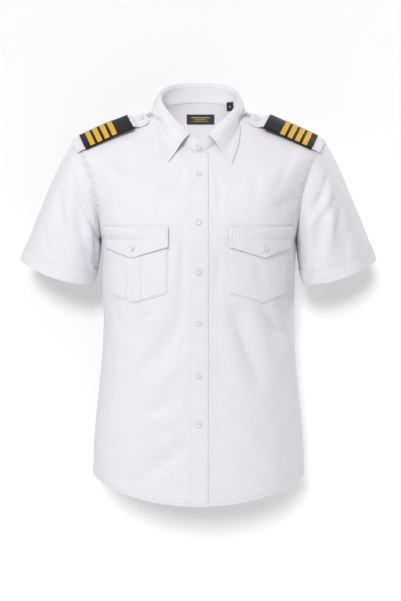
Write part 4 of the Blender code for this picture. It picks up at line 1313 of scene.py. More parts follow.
def column_run(points: Array, from_top: bool = False) -> Array:
    """The distance up each column from the first row, or down it from the last."""
    steps = np.linalg.norm(np.diff(points, axis=0), axis=-1)
    zero = np.zeros((1, points.shape[1]))
    if from_top:
        return np.concatenate([np.cumsum(steps[::-1], axis=0)[::-1], zero])
    return np.concatenate([zero, np.cumsum(steps, axis=0)])


def row_run(points: Array, from_end: bool = False) -> Array:
    """The distance along each row from the first column, or back from the last."""
    return column_run(np.swapaxes(points, 0, 1), from_end).T


@dataclass
class Torso:
    """The two fronts, the back and the yoke."""

    wall: float = 0.75
    hem_wall: float = 1.5
    hem_band: float = 4.6
    columns: int = 62
    back_columns: int = 126
    fold_fade: float = 22.0
    seam_roll: float = 0.3
    edge_stitch: float = 1.6
    top_stitch: float = 6.5
    hem_stitch: float = 3.6
    yoke_stitch: float = 1.9
    ease_rounds: int = 90
    hem_span: float = 470.0
    yoke_span: float = 150.0
    finish: Poplin = field(default_factory=Poplin)

    def rows(self, low: float = 0.0, high: float = 3.0) -> Array:
        """Heights of the rows, the same on every panel, so that seams share their points."""
        hem = np.array([0.0, 0.4, 1.1, 2.0, 2.9, 3.7, 4.3, 4.9, 6.2]) / self.hem_span
        seam = YOKE_SEAM + np.array([-2.4, -1.0, -0.4, 0.4, 1.0, 2.4]) / self.yoke_span
        every = np.unique(np.concatenate([
            hem,
            np.linspace(hem[-1], 1.0, 140),
            np.linspace(1.0, 2.0, 69),
            np.linspace(2.0, 3.0, 35),
            seam,
            [YOKE_SEAM],
        ]).round(6))
        kept = every[(every > low + 1e-6) & (every < high - 1e-6)]
        return np.concatenate([[low], kept, [high]])

    def places(self, first: float, length: float, count: int) -> Array:
        """Distances along a row, close together at its outer edge."""
        rims = np.array([0.5, 1.3, 2.6])
        inside = np.linspace(first, length - rims[-1], count)
        return np.concatenate([inside, length - rims[-2::-1], [length]])

    def pucker(self, run: Array, distance: Array, depth: float = 0.6) -> Array:
        """Small puckers beside a seam."""
        waves = pucker_waves(run) * (0.65 + 0.35 * np.sin(run / 13.0))
        return depth * waves * np.exp(-((distance / 11.0) ** 2)) * smooth(distance / 2.5)

    def eased(self, grid: Array, vs: Array, edge: Array) -> Array:
        """Eases the turn from the chest to the shoulder, and leaves the seams where they are."""
        inside = smooth((vs - 1.45) / 0.3) * smooth((2.75 - vs) / 0.3)
        share = 0.5 * inside[1:-1, None, None] * smooth(edge / 14.0)[1:-1, :, None]
        for _ in range(self.ease_rounds):
            grid[1:-1] += share * (0.5 * (grid[:-2] + grid[2:]) - grid[1:-1])
        return grid

    def front(self, side: Side) -> Cloth:
        """A front panel. Its first columns lie under the placket."""
        vs = self.rows()
        first = OVER_LAP if side is Side.RIGHT else UNDER_LAP
        rows = [half_panel(FRONT_ROWS, ARMHOLE_FRONT, v, lambda n: self.places(first, n, self.columns)) for v in vs]
        points, across = map(np.array, zip(*rows))
        edge = across[:, -1:] - across
        grid = self.eased(points, vs, edge) * (side.value, 1, 1)
        top = column_run(grid, from_top=True)
        normals = grid_normals(grid, (0.3 * side.value, -1.0, 0.2))
        broad = smooth(edge / self.fold_fade) * smooth(top / self.fold_fade)
        broad = broad * smooth((np.abs(grid[..., 0]) - 19.0) / self.fold_fade)
        fine = smooth(edge / 9.0) * smooth(top / 12.0) * smooth((np.abs(grid[..., 0]) - 17.5) / 10.0)
        lift = fold_rise(FRONT_FOLDS, grid) * broad + crease_rise(FRONT_CREASES, grid) * fine
        lift += (rumple(grid, 62.0, 1.2, 3.1) + rumple(grid, 27.0, 0.6, 7.7)) * fine
        edge_run = column_run(grid)[:, -1:]
        lift += self.pucker(edge_run, edge) * smooth(column_run(grid) / 40.0)
        cloth = lifted(grid, normals, lift, across, column_run(grid))
        cloth.marks = {"side_row": edge, "hem": column_run(cloth.points), "seam": edge, "centre": across}
        return cloth

    def rear(self, low: float, high: float) -> Cloth:
        """The back or the yoke, one piece from one side to the other."""

        def both_ways(length: float) -> Array:
            """Places from one side to the other."""
            along = self.places(0.0, length, self.back_columns // 2)
            return np.concatenate([-along[:0:-1], along])

        rows = [half_panel(BACK_ROWS, ARMHOLE_BACK, v, both_ways) for v in self.rows(low, high)]
        grid, across = map(np.array, zip(*rows))
        edge = across[:, -1:] - np.abs(across)
        run = column_run(grid)
        top = column_run(grid, from_top=True)
        normals = grid_normals(grid, (0.0, 1.0, 0.3))
        is_back = low == 0.0
        broad = smooth(edge / self.fold_fade) * smooth(top / self.fold_fade)
        fine = smooth(edge / 9.0) * smooth(top / 9.0) * (1.0 if is_back else smooth(run / 9.0))
        lift = (rumple(grid, 62.0, 1.2, 5.3) + rumple(grid, 27.0, 0.6, 9.9)) * fine
        if is_back:
            lift += fold_rise(BACK_FOLDS, grid) * broad + crease_rise(BACK_CREASES, grid) * fine
        lift += self.pucker(run[:, -1:], edge) * smooth(run / 40.0 if is_back else np.ones(run.shape))
        seam = top if is_back else run
        lift += self.pucker(across, seam, 0.22)
        cloth = lifted(grid, normals, lift, across, run)
        cloth.marks = {
            "left_row": across - across[:, :1], "right_row": across[:, -1:] - across, "yoke": seam,
            "seam": np.minimum(edge, seam),
        }
        if is_back:
            cloth.marks["hem"] = column_run(cloth.points)
        return cloth

    def thickness(self, cloth: Cloth) -> Array:
        """The wall at each point, double along a turned hem."""
        wall = np.full(cloth.points.shape[:2], self.wall)
        if "hem" in cloth.marks:
            wall += (self.hem_wall - self.wall) * (1.0 - smooth((cloth.marks["hem"] - self.hem_band + 0.4) / 0.8))
        return wall

    def turn_hem(self, cloth: Cloth) -> None:
        """Raises the turned hem a little over the cloth."""
        off = np.clip((cloth.marks["hem"] - 1.9) / np.where(cloth.marks["hem"] < 1.9, 2.2, 2.9), -1.0, 1.0)
        cloth.points += (0.95 * np.sqrt(1.0 - off**2))[..., None] * cloth.normals

    def make_front(self, side: Side, cloth: Cloth, sewing: Sewing) -> None:
        """Makes one front and sews its seams."""
        self.turn_hem(cloth)
        pressed = (24.5, 35.0) if side is Side.RIGHT else ()
        seams = (
            Seam("side_row", 0.0, 1.0, 0.12, "up", 0.4, 0.06),
            Seam("side_row", self.top_stitch, 0.9, 0.22, "up", 0.60, 0.08),
            *(Seam("centre", place, 1.0, 0.05, "up", 0.04, 0.07) for place in pressed),
            Seam("hem", 4.9, 0.9, 0.25, "across"),
        )
        make_sheet(f"front_{side.word}", cloth, self.thickness(cloth), self.finish, seams, Held.HUNG, "yoke_cloth")
        for distance in (self.edge_stitch, self.top_stitch):
            sewing.run(cloth.line("side_row", distance))
        sewing.run(cloth.line("hem", self.hem_stitch))

    def make_back(self, cloth: Cloth, sewing: Sewing) -> None:
        """Makes the back and sews its seams."""
        self.turn_hem(cloth)
        seams = (
            Seam("left_row", 0.0, 1.3, 0.5, "up"), Seam("right_row", 0.0, 1.3, 0.5, "up"),
            Seam("yoke", 0.0, 1.3, 0.5, "across"), Seam("hem", 4.6, 0.7, 0.25, "across"),
        )
        make_sheet("back", cloth, self.thickness(cloth), self.finish, seams, Held.HUNG, "yoke_cloth")
        sewing.run(cloth.line("hem", self.hem_stitch))

    def make_yoke(self, cloth: Cloth, sewing: Sewing) -> None:
        """Makes the yoke and sews its seams."""
        seams = (
            *(Seam(mark, 0.0, 1.0, 0.12, "up", 0.4, 0.06) for mark in ("left_row", "right_row")),
            *(Seam(mark, self.top_stitch, 0.9, 0.22, "up", 0.3, 0.08) for mark in ("left_row", "right_row")),
            Seam("yoke", 0.0, 1.3, 0.5, "across"), Seam("yoke", self.yoke_stitch, 0.8, 0.25, "across"),
        )
        make_sheet("yoke", cloth, self.wall, self.finish, seams, Held.HUNG, "")
        for mark in ("left_row", "right_row"):
            sewing.run(cloth.line(mark, self.edge_stitch))
            sewing.run(cloth.line(mark, self.top_stitch))
        sewing.run(cloth.line("yoke", self.yoke_stitch))


@dataclass
class FrontPlaces:
    """Finds points on a front panel by distance from the middle line along the cloth and height."""

    cloth: Cloth

    def column(self, along: float) -> tuple[Array, Array]:
        """The panel's points and normals at one distance from the middle line, one for each row."""
        across = self.cloth.across
        j = np.clip((along - across[:, 0]) / (across[:, 1] - across[:, 0]), 0.0, across.shape[1] - 4.001)
        low, rows = j.astype(int), np.arange(len(j))
        share = (j - low)[:, None]
        grids = self.cloth.points, self.cloth.normals
        return tuple((1 - share) * grid[rows, low] + share * grid[rows, low + 1] for grid in grids)

    def at(self, alongs: Array, heights: Array) -> tuple[Array, Array]:
        """Points and normals at these distances and heights, two arrays of one shape."""
        alongs, heights = np.broadcast_arrays(alongs, heights)
        points, normals = np.empty((*heights.shape, 3)), np.empty((*heights.shape, 3))
        for index in np.ndindex(heights.shape[1:]):
            same = np.ptp(alongs[(slice(None), *index)]) < 1e-9
            for k in [slice(None)] if same else range(len(heights)):
                spot = (k, *index)
                line, turned = self.column(float(np.ravel(alongs[spot])[0]))
                for i in range(3):
                    points[(*spot, i)] = np.interp(heights[spot], line[:, 2], line[:, i])
                    normals[(*spot, i)] = np.interp(heights[spot], line[:, 2], turned[:, i])
        return points, unit(normals)


@dataclass
class Placket:
    """The doubled band down the front edge."""

    left: float = -18.6
    right: float = 17.8
    lift: float = 1.9
    wall: float = 1.2
    stitch: float = 3.3
    finish: Poplin = field(default_factory=Poplin)

    def cloth(self, rows: Array) -> Cloth:
        """The band's outer surface."""
        along = self.left + even_steps(self.right - self.left, 2.2, (0.35, 0.9, 1.8))
        grid = np.array([half_panel(FRONT_ROWS, ARMHOLE_FRONT, v, lambda _: along)[0] for v in rows])
        normals = grid_normals(grid, (0.0, -1.0, 0.2))
        up = column_run(grid)
        across = np.broadcast_to(along, up.shape)
        edge = np.minimum(across - self.left, self.right - across)
        lift = self.lift - 0.55 * (1.0 - smooth(edge / 1.2))
        waves = pucker_waves(up, 2.3, 2.0, 31.0) * np.exp(-(((edge - 2.0) / 3.0) ** 2))
        lift = lift + 0.10 * waves + rumple(grid, 34.0, 0.55, 1.3) * smooth(edge / 4.0)
        cloth = lifted(grid, normals, lift, across, up)
        cloth.marks = {"left_row": across - self.left, "right_row": self.right - across, "hem": up}
        return cloth

    def make(self, cloth: Cloth, sewing: Sewing) -> None:
        """Makes the band and sews its two edges."""
        seams = (
            *(Seam(mark, self.stitch, 0.9, 0.25, "up", 0.13, 0.10) for mark in ("left_row", "right_row")),
            Seam("hem", 4.6, 0.7, 0.2, "across"),
        )
        make_sheet("placket", cloth, self.wall, self.finish, seams, Held.FOLDED, "front_right_cloth", 0.18)
        for mark in ("left_row", "right_row"):
            sewing.run(cloth.line(mark, self.stitch))


@dataclass
class Sleeve:
    """A short sleeve: rings from the armhole to the hem."""

    side: Side
    wall: float = 0.75
    hem_wall: float = 1.6
    length_rows: int = 68
    hem_height: float = 26.0
    cap_rows: tuple[float, ...] = (0.0, 0.5, 1.3, 2.6)
    hem_rows: tuple[float, ...] = (25.2, 24.0, 21.0, 17.0, 13.0, 9.0, 5.0, 2.5, 1.0, 0.4, 0.0)
    finish: Poplin = field(default_factory=Poplin)

    def ring(self, around: Array, t: Array) -> Array:
        """Points at these places round the sleeve and shares of its length, on the right-hand sleeve."""
        around = np.asarray(around, float) % 1.0
        armhole = np.array([
            edge_point(2.0 - 2.0 * a, ARMHOLE_FRONT) if a <= 0.5 else edge_point(2.0 * a, ARMHOLE_BACK) for a in around
        ])
        lines = table_curve(SLEEVE_LINES, around)
        turn = TURN * around[:, None]
        hem = np.array(SLEEVE_HEM_CENTRE) + np.cos(turn) * SLEEVE_HEM_OUT + np.sin(turn) * SLEEVE_HEM_FRONT
        leave, arrive = armhole + lines[:, :3] / 3.0, hem - lines[:, 3:] / 3.0
        t = np.asarray(t, float)[..., None]
        return (1 - t) ** 3 * armhole + 3 * t * (1 - t) ** 2 * leave + 3 * t * t * (1 - t) * arrive + t**3 * hem

    def lift(self, folds: Iterable[SleeveFold], grid: Array) -> Array:
        """How far the folds lift the sleeve's cloth at the grid's points."""
        total = np.zeros(grid.shape[:2])
        shift = 0.015 if self.side is Side.LEFT else 0.0
        for fold in folds:
            steps = np.linspace(0.0, 1.0, CREASE_STEPS)
            around = fold.around0 + (fold.around1 - fold.around0) * steps + shift
            down = fold.down0 + (fold.down1 - fold.down0) * steps
            path = self.ring(around, down)
            away = np.linalg.norm(grid[:, :, None] - path, axis=-1)
            nearest = np.argmin(away, axis=-1)
            taper = 0.3 + 0.7 * np.sin(np.pi * (0.1 + 0.8 * steps[nearest]))
            total += fold.rise * taper * np.exp(-((away.min(axis=-1) / fold.half_width) ** 2))
        return total

    def cloth(self, rows: Array) -> Cloth:
        """The sleeve's outer surface. rows are the heights of the armhole's shared points."""
        around = np.concatenate([(2.0 - rows[::-1]) / 2.0, rows[1:-1] / 2.0])
        ends = self.ring(around, np.zeros(len(around))), self.ring(around, np.ones(len(around)))
        length = np.linalg.norm(ends[1] - ends[0], axis=1)
        hem_share = self.hem_height / length
        shares = [d / length for d in self.cap_rows]
        shares += [(1.0 - hem_share) * k / self.length_rows + (1 - k / self.length_rows) * self.cap_rows[-1] / length
                   for k in range(1, self.length_rows + 1)]
        shares += [1.0 - d / length for d in self.hem_rows]
        grid = np.array([self.ring(around, t) for t in shares])
        down = np.array(shares)
        normals = grid_normals(grid, grid - grid.mean(axis=1, keepdims=True), closed=True)
        run = column_run(grid)
        lift = self.lift(SLEEVE_FOLDS, grid) * smooth(down / 0.14)
        fine = smooth(run / 9.0)
        own = RIGHT_SLEEVE_CREASES if self.side is Side.RIGHT else LEFT_SLEEVE_CREASES
        lift += self.lift(SLEEVE_CREASES + own, grid) * fine
        shift = 0.0 if self.side is Side.RIGHT else 40.0
        lift += (rumple(grid, 52.0, 1.0, 2.2 + shift) + rumple(grid, 24.0, 0.4, 4.4 + shift)) * fine
        ring_run = running_length(grid[0])
        lift += 0.34 * pucker_waves(ring_run) * np.exp(-((run / 9.0) ** 2)) * smooth(run / 2.5)
        points = grid + lift[..., None] * normals
        hem = column_run(points, from_top=True)
        band = 1.0 - smooth((hem - self.hem_height + 0.5) / 1.0)
        points += (1.1 * band - 0.35 * (1.0 - smooth(hem / 0.9)))[..., None] * normals
        mirror = (self.side.value, 1, 1)
        cloth = Cloth(points * mirror, normals * mirror, np.broadcast_to(ring_run, hem.shape), hem, closed=True)
        cloth.normals = grid_normals(cloth.points, cloth.normals, closed=True)
        cloth.marks = {"cap": run, "hem": hem, "seam": run}
        return cloth

    def make(self, cloth: Cloth, sewing: Sewing) -> None:
        """Makes the sleeve and sews its cap and its deep hem."""
        seams = (
            Seam("cap", 0.0, 1.0, 0.12, "across", 0.4, 0.06),
            Seam("hem", self.hem_height - 1.8, 0.8, 0.25, "across", 0.12, 0.10),
            Seam("hem", self.hem_height + 0.9, 0.9, 0.2, "across", 0.12, 0.22),
        )
        wall = self.wall + (self.hem_wall - self.wall) * (1.0 - smooth((cloth.marks["hem"] - self.hem_height) / 1.2))
        make_sheet(f"sleeve_{self.side.word}", cloth, wall, self.finish, seams, Held.HUNG, "yoke_cloth")
        sewing.run(cloth.line("hem", self.hem_height - 1.6))


# What is sewn on the body


@dataclass
class ChestPocket:
    """A pocket with a box pleat and a pointed flap, in distances along the cloth and heights."""

    side: Side
    places: FrontPlaces
    inner: float = 55.5
    width: float = 130.0
    top: float = -219.0
    corner: float = -334.0
    point: float = -352.5
    flap_top: float = -213.5
    flap_corner: float = -250.5
    flap_point: float = -270.0
    flap_overhang: float = 1.5
    flap_flare: float = 4.0
    pleat_width: float = 32.5
    stitch: float = 1.9
    flap_stitch: float = 5.6
    head_stitches: tuple[float, float] = (1.8, 6.6)
    finish: Poplin = field(default_factory=Poplin)

    @property
    def middle(self) -> float:
        """The distance of the pocket's middle from the shirt's middle line."""
        return self.inner + self.width / 2.0

    def low_line(self, alongs: Array, corner: float, point: float, width: float) -> Array:
        """The height of a pointed lower edge at these distances."""
        near = 1.0 - np.abs(np.asarray(alongs) - self.middle) / (width / 2.0)
        return corner + (point - corner) * near

    def layer(self, alongs: Array, heights: Array, lift: Array | float, bow: float) -> Cloth:
        """A surface that lies on the front.

        Args:
            alongs: Distances from the middle line, one for each point.
            heights: Heights, one for each point.
            lift: How far the surface lies over the front, in millimetres.
            bow: How deep its own soft waves are.

        Returns:
            The surface, with its first row at the top.
        """
        points, normals = self.places.at(alongs, heights)
        lift = np.broadcast_to(lift, heights.shape) + rumple(points, 30.0, bow, 6.0)
        return lifted(points, normals, lift, np.broadcast_to(alongs, heights.shape), heights - heights.max())

    def patch(self) -> Cloth:
        """The pocket's own surface."""
        alongs = self.inner + even_steps(self.width, 2.7, (0.4, 1.2, 2.6, 4.2))
        shares = even_shares(133.0, 2.7, (0.4, 1.2, 2.6, 4.2))
        low = self.low_line(alongs, self.corner, self.point, self.width)
        heights = self.top + np.outer(shares, low - self.top)
        sides = np.minimum(alongs - self.inner, self.inner + self.width - alongs)
        slope = abs(self.point - self.corner) / (self.width / 2.0)
        bottom = (heights - low) / math.hypot(1.0, slope)
        rim = np.minimum(np.broadcast_to(sides, heights.shape), bottom)
        lift = 1.05 + 1.15 * smooth(rim / 4.0)
        cloth = self.layer(alongs, heights, lift, 0.5)
        cloth.marks = {"rim": rim}
        return cloth

    def pleat(self) -> Cloth:
        """The raised band down the pocket's middle."""
        half = self.pleat_width / 2.0
        alongs = self.middle - half + even_steps(self.pleat_width, 2.4, (0.35, 0.9, 2.0))
        shares = even_shares(126.0, 2.7, (0.4, 1.2))
        low = self.low_line(alongs, self.corner, self.point, self.width) + 1.2
        top = self.top - 4.0
        heights = top + np.outer(shares, low - top)
        rim = np.broadcast_to(np.minimum(alongs - alongs[0], alongs[-1] - alongs), heights.shape)
        soft = 2.2 if self.side is Side.LEFT else 9.0
        lift = 2.5 + (0.75 if self.side is Side.LEFT else 0.4) * smooth(rim / soft)
        lift = lift - 0.85 * (1.0 - smooth((heights - low) / 5.0))
        cloth = self.layer(alongs, heights, lift, 0.3)
        cloth.marks = {"rim": rim, "foot": heights - low}
        return cloth

    def flap(self) -> Cloth:
        """The pointed flap, which widens a little towards its outer lower corner."""
        half = self.width / 2.0 + self.flap_overhang
        alongs = self.middle - half + even_steps(2 * half, 2.6, (0.4, 1.2, 2.6))
        low = self.low_line(alongs, self.flap_corner, self.flap_point, 2 * half)
        shares = even_shares(48.0, 1.9, (0.4, 1.2))
        heights = self.flap_top + np.outer(shares, low - self.flap_top)
        outer = np.clip((alongs - self.middle) / half, 0.0, 1.0) ** 3
        rows = np.tile(alongs, (len(shares), 1)) + self.flap_flare * np.outer(shares, outer)
        slope = abs(self.flap_point - self.flap_corner) / half
        bottom = (heights - low) / math.hypot(1.0, slope)
        sides = np.minimum(rows - rows[:, :1], rows[:, -1:] - rows)
        rim = np.minimum(sides, bottom)
        lift = 2.3 + 3.3 * smooth(shares / 0.16)[:, None] - 0.4 * (1.0 - smooth(rim / 1.0))
        lift = lift + 0.5 * (1.0 - smooth(bottom / 12.0)) * (0.6 + 0.4 * np.sin(rows / 9.0))
        cloth = self.layer(rows, heights, lift, 0.5)
        cloth.marks = {"rim": rim, "head": np.broadcast_to(self.flap_top - heights, heights.shape)}
        return cloth

    def outline(self, corner: float, point: float, width: float, top: float, inset: float) -> Array:
        """Distances and heights of a line inside a pointed outline, from one top corner to the other."""
        half = width / 2.0
        slope = (corner - point) / half
        rise = inset * math.hypot(1.0, slope)
        left, right = self.middle - half + inset, self.middle + half - inset
        low = corner + rise - slope * inset
        return np.array([(left, top), (left, low), (self.middle, point + rise), (right, low), (right, top)])

    def sew(self, sewing: Sewing, line: Array, tree: BVHTree) -> None:
        """Sews along a line of distances and heights, on a surface."""
        lengths = running_length(line)
        spots = np.arange(0.0, lengths[-1], 1.5)
        alongs, heights = (np.interp(spots, lengths, line[:, i]) for i in range(2))
        points, normals = zip(*(self.places.at(np.array([a]), np.array([z])) for a, z in zip(alongs, heights)))
        points, normals = np.concatenate(points), np.concatenate(normals)
        seated = np.array([drop(tree, p + 14.0 * n, -n)[0] for p, n in zip(points, normals)])
        sewing.run((seated, normals))

    def make(self, sewing: Sewing) -> Cloth:
        """Makes the pocket, its pleat and its flap, and sews them.

        Args:
            sewing: Where the stitches go.

        Returns:
            The flap's surface, for its button.
        """
        word = self.side.word
        patch, pleat, flap = self.patch(), self.pleat(), self.flap()
        seams = (Seam("rim", self.stitch, 0.7, 0.3, "up"),)
        make_sheet(f"pocket_{word}", patch, 0.8, self.finish, seams, Held.LAID, f"front_{word}_cloth", 0.2)
        seams = (Seam("rim", 0.0, 0.9, 0.4, "up"),) if self.side is Side.LEFT else ()
        wall = 0.3 + 0.4 * smooth(pleat.marks["rim"] / 2.2)
        make_sheet(f"pleat_{word}", pleat, wall, self.finish, seams, Held.FOLDED, f"pocket_{word}_cloth", 0.14,
                   f"pocket_pleat_{word}")
        seams = (
            Seam("rim", self.flap_stitch, 0.8, 0.22, "across", 0.12, 0.12),
            *(Seam("head", place, 0.7, 0.25, "across", 0.12, 0.16) for place in self.head_stitches),
        )
        make_sheet(f"flap_{word}", flap, 1.15, self.finish, seams, Held.LAID, f"pocket_{word}_cloth", 0.2,
                   f"pocket_flap_{word}")
        line = self.outline(self.corner, self.point, self.width, self.flap_corner - 2.0, self.stitch)
        self.sew(sewing, line, patch.tree())
        width = self.width + 2.0 * self.flap_overhang
        tree = flap.tree()
        top = self.flap_top - self.head_stitches[-1]
        self.sew(sewing, self.outline(self.flap_corner, self.flap_point, width, top, self.flap_stitch), tree)
        for drop_down in self.head_stitches:
            ends = (self.middle - width / 2.0 + 2.0, self.middle + width / 2.0 - 2.0)
            self.sew(sewing, np.array([(a, self.flap_top - drop_down) for a in ends]), tree)
        return flap


@dataclass
class Collar:
    """The stand, a ring with lapped ends, and the leaf that rolls over its top edge."""

    columns: int = 21
    leaf_rows: int = 5
    leaf_wall: float = 1.5
    stand_wall: float = 1.5
    leaf_roll: float = 3.2
    over_end: float = 17.0
    under_end: float = 14.0
    top_drop: float = 4.3
    lift: float = 0.15
    step: float = 2.1
    front: Triple = (0.0, -3.0, -56.0)
    leaf_share: float = 0.93
    lap: float = 1.0
    clearance: float = 0.8
    press: float = 0.93
    press_reach: float = 30.0
    leaf_bow: float = 2.6
    ease_right: Triple = (5.0, 0.0, -3.0)
    ease_left: Triple = (1.6, 0.0, -0.5)
    tip_right: Triple = (5.0, 0.0, 2.0)
    tip_left: Triple = (0.6, 0.0, 6.8)
    neck_centre: Triple = (0.0, -4.0, 0.0)
    leaf_stitch: float = 5.4
    finish: Poplin = field(default_factory=Poplin)

    def half_ring(self, shares: Array, keys: Array, line: Array) -> Array:
        """Points of a half ring at these shares of it. Past 1 the ring goes on over the middle."""
        inside = 1.0 - np.abs(1.0 - shares)
        points = np.stack([np.interp(inside, keys, line[:, i]) for i in range(3)], axis=-1)
        return points * np.stack([np.where(shares > 1.0, -1.0, 1.0)] + 2 * [np.ones(len(shares))], axis=-1)

    def fold(self, side: Side) -> Array:
        """The line that the leaf folds over, from the middle of the back to the front. x is outward."""
        steps = np.linspace(0.0, 1.0, self.columns)
        bulge = np.exp(-(((steps - 0.66) / 0.2) ** 2))[:, None]
        ease = self.ease_right if side is Side.RIGHT else self.ease_left
        return table_curve(COLLAR_KEYS, steps)[:, :3] + bulge * np.array(ease)

    def stand(self) -> Cloth:
        """The stand's outer surface."""
        steps = np.linspace(0.0, 1.0, self.columns)
        back = row_curve(BACK_ROWS, ARMHOLE_BACK, 3.0)[0]
        front = row_curve(FRONT_ROWS, ARMHOLE_FRONT, 3.0)[0]
        neck = np.vstack([back, front[-2::-1]])
        lengths = running_length(neck)
        tops = []
        for side in (Side.LEFT, Side.RIGHT):
            fold = self.fold(side)
            end = np.array([0.0, fold[-1][1] + self.front[1], self.front[2]])
            tops.append(np.vstack([fold - (0.0, 0.0, self.top_drop), [end]]))
        top_share = np.concatenate([steps * self.leaf_share, [1.0]])
        share = np.linspace(0.0, 1.0, self.columns + 2)
        ends = [1.0 + reach / lengths[-1] * np.array([0.5, 1.0]) for reach in (self.over_end, self.under_end)]
        over, under = (np.concatenate([share, past]) for past in ends)
        low, high = (
            np.vstack([self.half_ring(under[:0:-1], at, left) * (-1, 1, 1), self.half_ring(over, at, right)])
            for at, left, right in ((lengths / lengths[-1], neck, neck), (top_share, *tops))
        )
        low = low + self.lift * unit(high - low)
        coarse = np.array([low + (high - low) * s for s in (0.0, 0.36, 0.70, 1.0)])
        turn = np.linspace(-1.0, 1.0, coarse.shape[1])
        coarse_normals = grid_normals(coarse, coarse - np.array(self.neck_centre))
        out = np.sign(turn) * smooth((np.abs(turn) - 0.84) / 0.16) * self.step
        coarse = coarse + out[:, None] * coarse_normals
        coarse[1:3] += 0.8 * coarse_normals[1:3]
        across = even_steps(coarse.shape[1] - 1.0, 0.2, (0.03, 0.09))
        grid = refine(coarse, even_steps(3.0, 0.22, (0.03, 0.09)), across)
        cloth = Cloth(grid, grid_normals(grid, grid - np.array(self.neck_centre)), row_run(grid), column_run(grid))
        ends_in = np.minimum(row_run(grid), row_run(grid, from_end=True))
        cloth.marks = {"foot": column_run(grid), "end_row": ends_in}
        return cloth

    def leaf(self, body: BVHTree) -> Cloth:
        """The leaf's outer surface: up from the stand, over the roll and down to its free edge."""
        steps = np.linspace(0.0, 1.0, self.columns)
        keys = table_curve(COLLAR_KEYS, steps)
        weight = smooth((steps - 0.6) / 0.4)[:, None]
        fold = np.vstack([self.fold(Side.LEFT)[:0:-1] * (-1, 1, 1), self.fold(Side.RIGHT)])
        fall = keys[:, 3:]
        left_fall = fall[:0:-1] * (-1, 1, 1) + weight[:0:-1] * np.array(self.tip_left)
        fall = np.vstack([left_fall, fall + weight * np.array(self.tip_right)])
        away = unit((fall - fold) * (1, 1, 0))
        up = np.array([0.0, 0.0, 1.0])
        rows = [fold - 0.7 * away - (self.lap + self.top_drop) * up, fold + 1.2 * away + 1.6 * up]
        rows.append(fold + self.leaf_roll * away + 0.2 * up)
        for k in range(1, self.leaf_rows + 1):
            t = k / self.leaf_rows
            bow = self.leaf_bow * math.sin(math.pi * t)
            rows.append(fold + self.leaf_roll * away * (1 - t) + (fall - fold) * t + bow * away)
        coarse = np.array(rows)
        centre = np.array(self.neck_centre)
        normals = grid_normals(coarse, unit(coarse - centre) + (0, 0, 0.6))
        inner = coarse.copy()
        inner[3:] = rest_on(body, coarse[3:], self.clearance, normals[3:])
        front = smooth((np.abs(np.linspace(-1.0, 1.0, inner.shape[1])) - 0.35) / 0.35)
        for i in range(4, len(inner)):
            press = self.press * smooth((i - 2.6) / 3.0) * front
            for j in np.flatnonzero(press > 0.01):
                place = drop(body, inner[i, j] + 40.0 * normals[i, j], -normals[i, j])[0]
                height = float((inner[i, j] - place) @ normals[i, j])
                if self.clearance < height < self.press_reach:
                    inner[i, j] -= press[j] * (height - self.clearance) * normals[i, j]
        outer = inner + self.leaf_wall * grid_normals(inner, normals)
        wide = even_steps(outer.shape[1] - 1.0, 0.17, (0.02, 0.07, 0.16))
        grid = refine(outer, even_steps(len(outer) - 1.0, 0.16, (0.02, 0.07)), wide)
        fall_run = column_run(grid, from_top=True)
        ends_in = np.minimum(row_run(grid), row_run(grid, from_end=True))
        rim = np.minimum(fall_run, ends_in)
        turned = grid_normals(grid, unit(grid - centre) + (0, 0, 0.6))
        lift = rumple(grid, 30.0, 0.5, 8.8) * smooth(rim / 6.0) * smooth(column_run(grid) / 12.0)
        lift -= 0.35 * (1.0 - smooth(rim / 0.9)) * smooth(column_run(grid) / 12.0)
        grid = grid + lift[..., None] * turned
        cloth = Cloth(grid, grid_normals(grid, turned), row_run(grid), fall_run)
        cloth.marks = {
            "rim": rim, "fall": fall_run, "start_row": row_run(grid), "end_row": row_run(grid, from_end=True),
        }
        return cloth

    def make(self, stand: Cloth, leaf: Cloth, sewing: Sewing) -> None:
        """Makes the stand and the leaf, and sews them."""
        seams = (Seam("foot", 1.8, 0.8, 0.3, "across"), Seam("end_row", 2.2, 0.8, 0.2, "up"))
        make_sheet("collar_stand", stand, self.stand_wall, self.finish, seams, Held.FOLDED, "yoke_cloth", 0.12)
        seams = (Seam("rim", self.leaf_stitch, 0.9, 0.28, "across", 0.12, 0.16),)
        make_sheet("collar_leaf", leaf, self.leaf_wall, self.finish, seams, Held.FOLDED, "collar_stand_cloth", 0.16)
        sewing.run(stand.line("foot", 1.8))
        inside = leaf.marks["fall"].shape[1]
        reach = int(np.searchsorted(leaf.marks["start_row"][-1], self.leaf_stitch))
        sewing.run(leaf.line("fall", self.leaf_stitch, reach, inside - 1 - reach))
        low = int(np.argmax(leaf.marks["start_row"][:, 1] >= 0))
        last = int(np.searchsorted(-leaf.marks["fall"][:, 0], -self.leaf_stitch))
        for mark in ("start_row", "end_row"):
            sewing.run(leaf.line(mark, self.leaf_stitch, low + 8, last))


